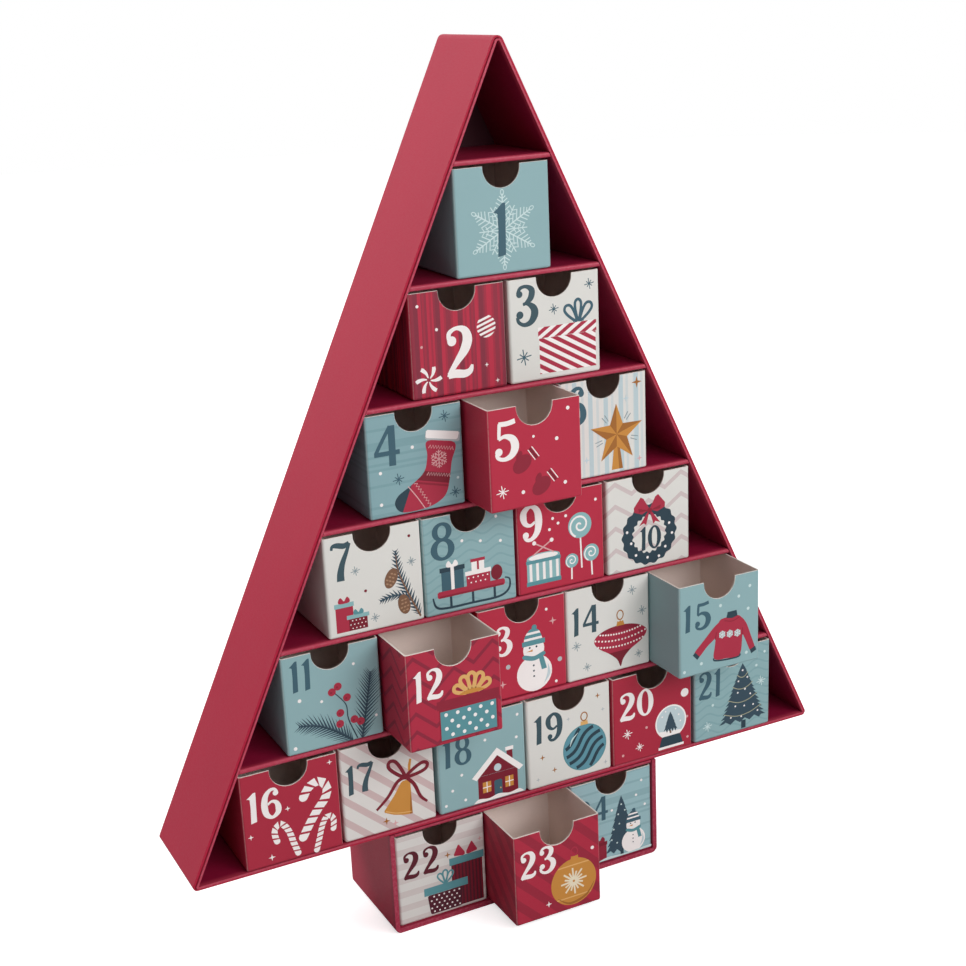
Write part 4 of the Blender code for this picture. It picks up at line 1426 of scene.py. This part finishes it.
def garland_tree(p):
    p.fill("dark_slate", box(31.0, 1.2, 34.0, 6.0))
    p.fill("fir", fir_tree(31.8, 6.4, 40.4, 15.6, 13))
    for low, reach, drop in ((33.0, 3.6, 0.8), (26.5, 6.8, 1.2), (19.0, 9.6, 1.6),
                             (11.2, 12.4, 1.8)):
        p.stroke("garland", [(31.8 - reach, low + 1.0), (31.8 - reach * 0.3, low - drop),
                             (31.8 + reach * 0.4, low - drop * 0.7), (31.8 + reach, low + 1.6)],
                 0.45)
    p.dots("white", 0.55, (31.8, 36.2), (29.0, 30.2), (35.0, 31.4), (28.6, 23.4), (33.4, 24.6),
           (37.0, 21.0), (27.0, 15.6), (33.0, 14.6), (39.0, 14.0), (24.0, 9.4), (31.0, 8.6),
           (42.0, 9.6))
    p.asterisks("frost", 3.0, (44.2, 27.0), (8.5, 8.0))
    p.dots("frost", 0.8, (12.0, 20.0), (46.5, 44.0), (5.0, 46.0), (41.0, 37.0))


def two_gifts(p):
    gift(p, (30.2, 2.0, 48.0, 30.4), "plum", "dark_teal", 4.2, 1.0)
    p.fill("maroon", *bands(box(30.2, 2.0, 48.0, 26.0), 90, 2.0, 1.1))
    p.fill("crimson", smooth_corners([(38.6, 31.6), (34.8, 37.6), (31.6, 31.2), (38.0, 30.2)]),
           smooth_corners([(38.8, 31.6), (42.4, 37.6), (45.8, 31.2), (39.4, 30.2)]))
    p.fill("plum", smooth_corners([(16.0, 12.8), (36.0, 12.8), (35.2, 1.6), (17.4, 1.6)]))
    p.fill("white", *dotted(16.8, 1.8, 35.6, 12.6, 2.9, 2.2, 0.5))
    p.fill("dark_teal", box(14.2, 12.9, 39.2, 17.4))
    for root, tip in (((26.0, 17.6), (22.8, 23.6)), ((26.8, 17.6), (30.6, 23.6)),
                      ((26.4, 17.8), (26.6, 25.0))):
        ribbon_loop(p, "dark_teal", root, tip, 3.0, 0.9)
    p.sparkles("dark_gold", 1.9, (28.5, 33.0))
    p.sparkles("pink", 1.5, (47.2, 37.2))


def gold_bauble(p):
    ball = oval(34.0, 16.0, 13.3, steps=44)
    p.fill("gold", ball)
    p.fill("pale_gold", *(cut(cut(ball, 0.0, 1.0, level + 0.7), 0.0, -1.0, -level)
                          for level in (7.0, 25.2)))
    p.stroke("dark_gold", [(24.4, 8.4, 0.2), (31.5, 3.9, 1.2), (41.0, 6.0, 1.2),
                           (46.0, 12.5, 0.2)])
    p.fill("cream", asterisk(34.0, 16.3, 7.6, 16))
    p.dots("gold", 0.7, (34.0, 16.3))
    bauble_cap(p, "gold", 34.8, 28.8, "crimson")
    p.sparkles("white", 1.8, (19.0, 7.2))
    p.dots("white", 1.0, (45.5, 32.2))


def tree_and_snowman(p):
    p.fill("dark_slate", box(30.0, 1.0, 32.0, 5.0))
    p.fill("fir", fir_tree(31.0, 4.6, 37.4, 10.2, 9))
    p.dots("frost", 0.5, (31.0, 32.0), (29.0, 26.5), (33.2, 28.0), (26.0, 18.0), (29.6, 20.6),
           (24.6, 12.0), (28.0, 9.4))
    gift(p, (11.5, 1.2, 21.2, 12.6), "dark_red", "maroon", 2.2, 0.5)
    bow(p, "dark_red", 17.0, 12.6, 3.6)
    snowman(p, 38.4, 1.0, 24.0, "slate", "dark_teal")
    p.fill("frost", smooth([(15.0, 0.9), (22.0, 2.4), (33.0, 1.6), (48.6, 2.2), (49.4, 0.8)],
                           closed=False))
    p.dots("white", 0.75, (44.0, 43.0), (40.5, 35.0), (25.0, 30.0), (46.0, 28.0))


PICTURES = {
    1: great_snowflake, 2: sweets, 3: striped_gift, 4: stocking, 5: mittens, 6: shining_star,
    7: cones_and_gifts, 8: sledge, 9: drum_and_lollies, 10: wreath, 11: fir_and_berries,
    12: gift_with_gold_bow, 13: winter_snowman, 14: onion_bauble, 15: jumper, 16: candy_canes,
    17: bell, 18: snowy_house, 19: wavy_bauble, 20: snow_globe, 21: garland_tree,
    22: two_gifts, 23: gold_bauble, 24: tree_and_snowman,
}


def make_prints():
    for number in range(1, DRAWERS + 1):
        front = Print(number)
        PICTURES[number](front)
        *limits, ink = NUMBERS[number]
        front.digits(*limits, ink)
        front.finish()


# Studio

WORLD_LIGHT = 0.15
FLOOR_GLOW = 0.66
FLOOR_SEEN, FLOOR_BOUNCE = 0.92, 0.58
FLOOR_RADIUS, FLOOR_STEPS = 4.0, 96
FLOOR_FADE = (0.35, 1.1)
FLOOR_ROUGHNESS, FLOOR_GLOSS = 0.9, 0.1
WHITE = (1.0, 1.0, 1.0, 1.0)

# Lamps: place, target, size and power
LAMPS = {
    "right_light": ((0.95, -1.4, 1.0), (0.0, 0.0, 0.22), 1.0, 14.3),
    "front_light": ((0.1, -1.5, 1.0), (0.0, 0.0, 0.22), 1.0, 9.2),
    "back_left_light": ((-0.70, 0.45, 1.12), (0.0, 0.0, 0.28), 0.8, 10.5),
}

# Camera, fitted to the photo; its turn is in degrees
LENS, SENSOR_WIDTH = 59.645, 36.0
CLIP_START, CLIP_END = 0.01, 200.0
CAMERA_PLACE = (-0.34575, -0.69161, 0.46312)
CAMERA_TURN = (72.570, 2.493, -27.102)


def is_ray(tree, *kinds):
    """1 for rays of these kinds, which show white surroundings, and 0 for the others."""
    path = add_node(tree, "LightPath").outputs
    share = path[kinds[0]]
    for kind in kinds[1:]:
        share = calculate(tree, "MAXIMUM", share, path[kind])
    return share


def make_floor():
    """Pale round floor that fades into the white surroundings and keeps the soft shadow."""
    material, tree, shader = new_material("floor_paper", FLOOR_GLOSS)
    seen = is_ray(tree, "Is Camera Ray", "Is Transmission Ray")
    grey = calculate(tree, "MULTIPLY_ADD", seen, FLOOR_SEEN - FLOOR_BOUNCE, FLOOR_BOUNCE)
    place = add_node(tree, "TexCoord").outputs["Object"]
    distance = add_node(tree, "VectorMath", {0: place}, operation="LENGTH").outputs["Value"]
    far = ramp_up(tree, distance, *FLOOR_FADE)
    white = calculate(tree, "MULTIPLY_ADD", far, 1.0 - FLOOR_GLOW, FLOOR_GLOW)
    glow = calculate(tree, "MULTIPLY", white, seen)
    fill_sockets(tree, shader, {"Base Color": grey, "Roughness": FLOOR_ROUGHNESS,
                                "Emission Color": WHITE, "Emission Strength": glow})
    edit = bmesh.new()
    bmesh.ops.create_circle(edit, cap_ends=True, segments=FLOOR_STEPS, radius=FLOOR_RADIUS)
    add_shape("floor", edit, (material,))


def make_world():
    """Even white surroundings: white where seen, softer as light."""
    world = bpy.data.worlds.new("studio")
    bpy.context.scene.world = world
    world.use_nodes = True
    tree = world.node_tree
    tree.nodes.clear()
    seen = is_ray(tree, "Is Camera Ray", "Is Glossy Ray", "Is Transmission Ray")
    strength = calculate(tree, "MULTIPLY_ADD", seen, 1.0 - WORLD_LIGHT, WORLD_LIGHT)
    glow = add_node(tree, "Background", {"Color": WHITE, "Strength": strength})
    output = add_node(tree, "OutputWorld")
    tree.links.new(glow.outputs[0], output.inputs["Surface"])


def add_lamp(name, place, target, size, power):
    light = bpy.data.lights.new(name, "AREA")
    light.shape = "DISK"
    light.size = size
    light.energy = power
    lamp = add_object(name, light)
    lamp.location = place
    lamp.rotation_euler = (Vector(target) - Vector(place)).to_track_quat("-Z", "Y").to_euler()


def make_studio():
    make_floor()
    make_world()
    for name, settings in LAMPS.items():
        add_lamp(name, *settings)
    view = bpy.data.cameras.new("photo_view")
    view.lens = LENS
    view.sensor_width = SENSOR_WIDTH
    view.clip_start = CLIP_START
    view.clip_end = CLIP_END
    camera = add_object("photo_view", view)
    camera.location = CAMERA_PLACE
    camera.rotation_euler = [math.radians(turn) for turn in CAMERA_TURN]
    bpy.context.scene.camera = camera
    bpy.context.scene.view_settings.view_transform = "Standard"


dress_boards()
make_seams()
make_ply_glue()
make_lining()
for number in range(1, DRAWERS + 1):
    make_tray(number)
make_prints()
make_studio()
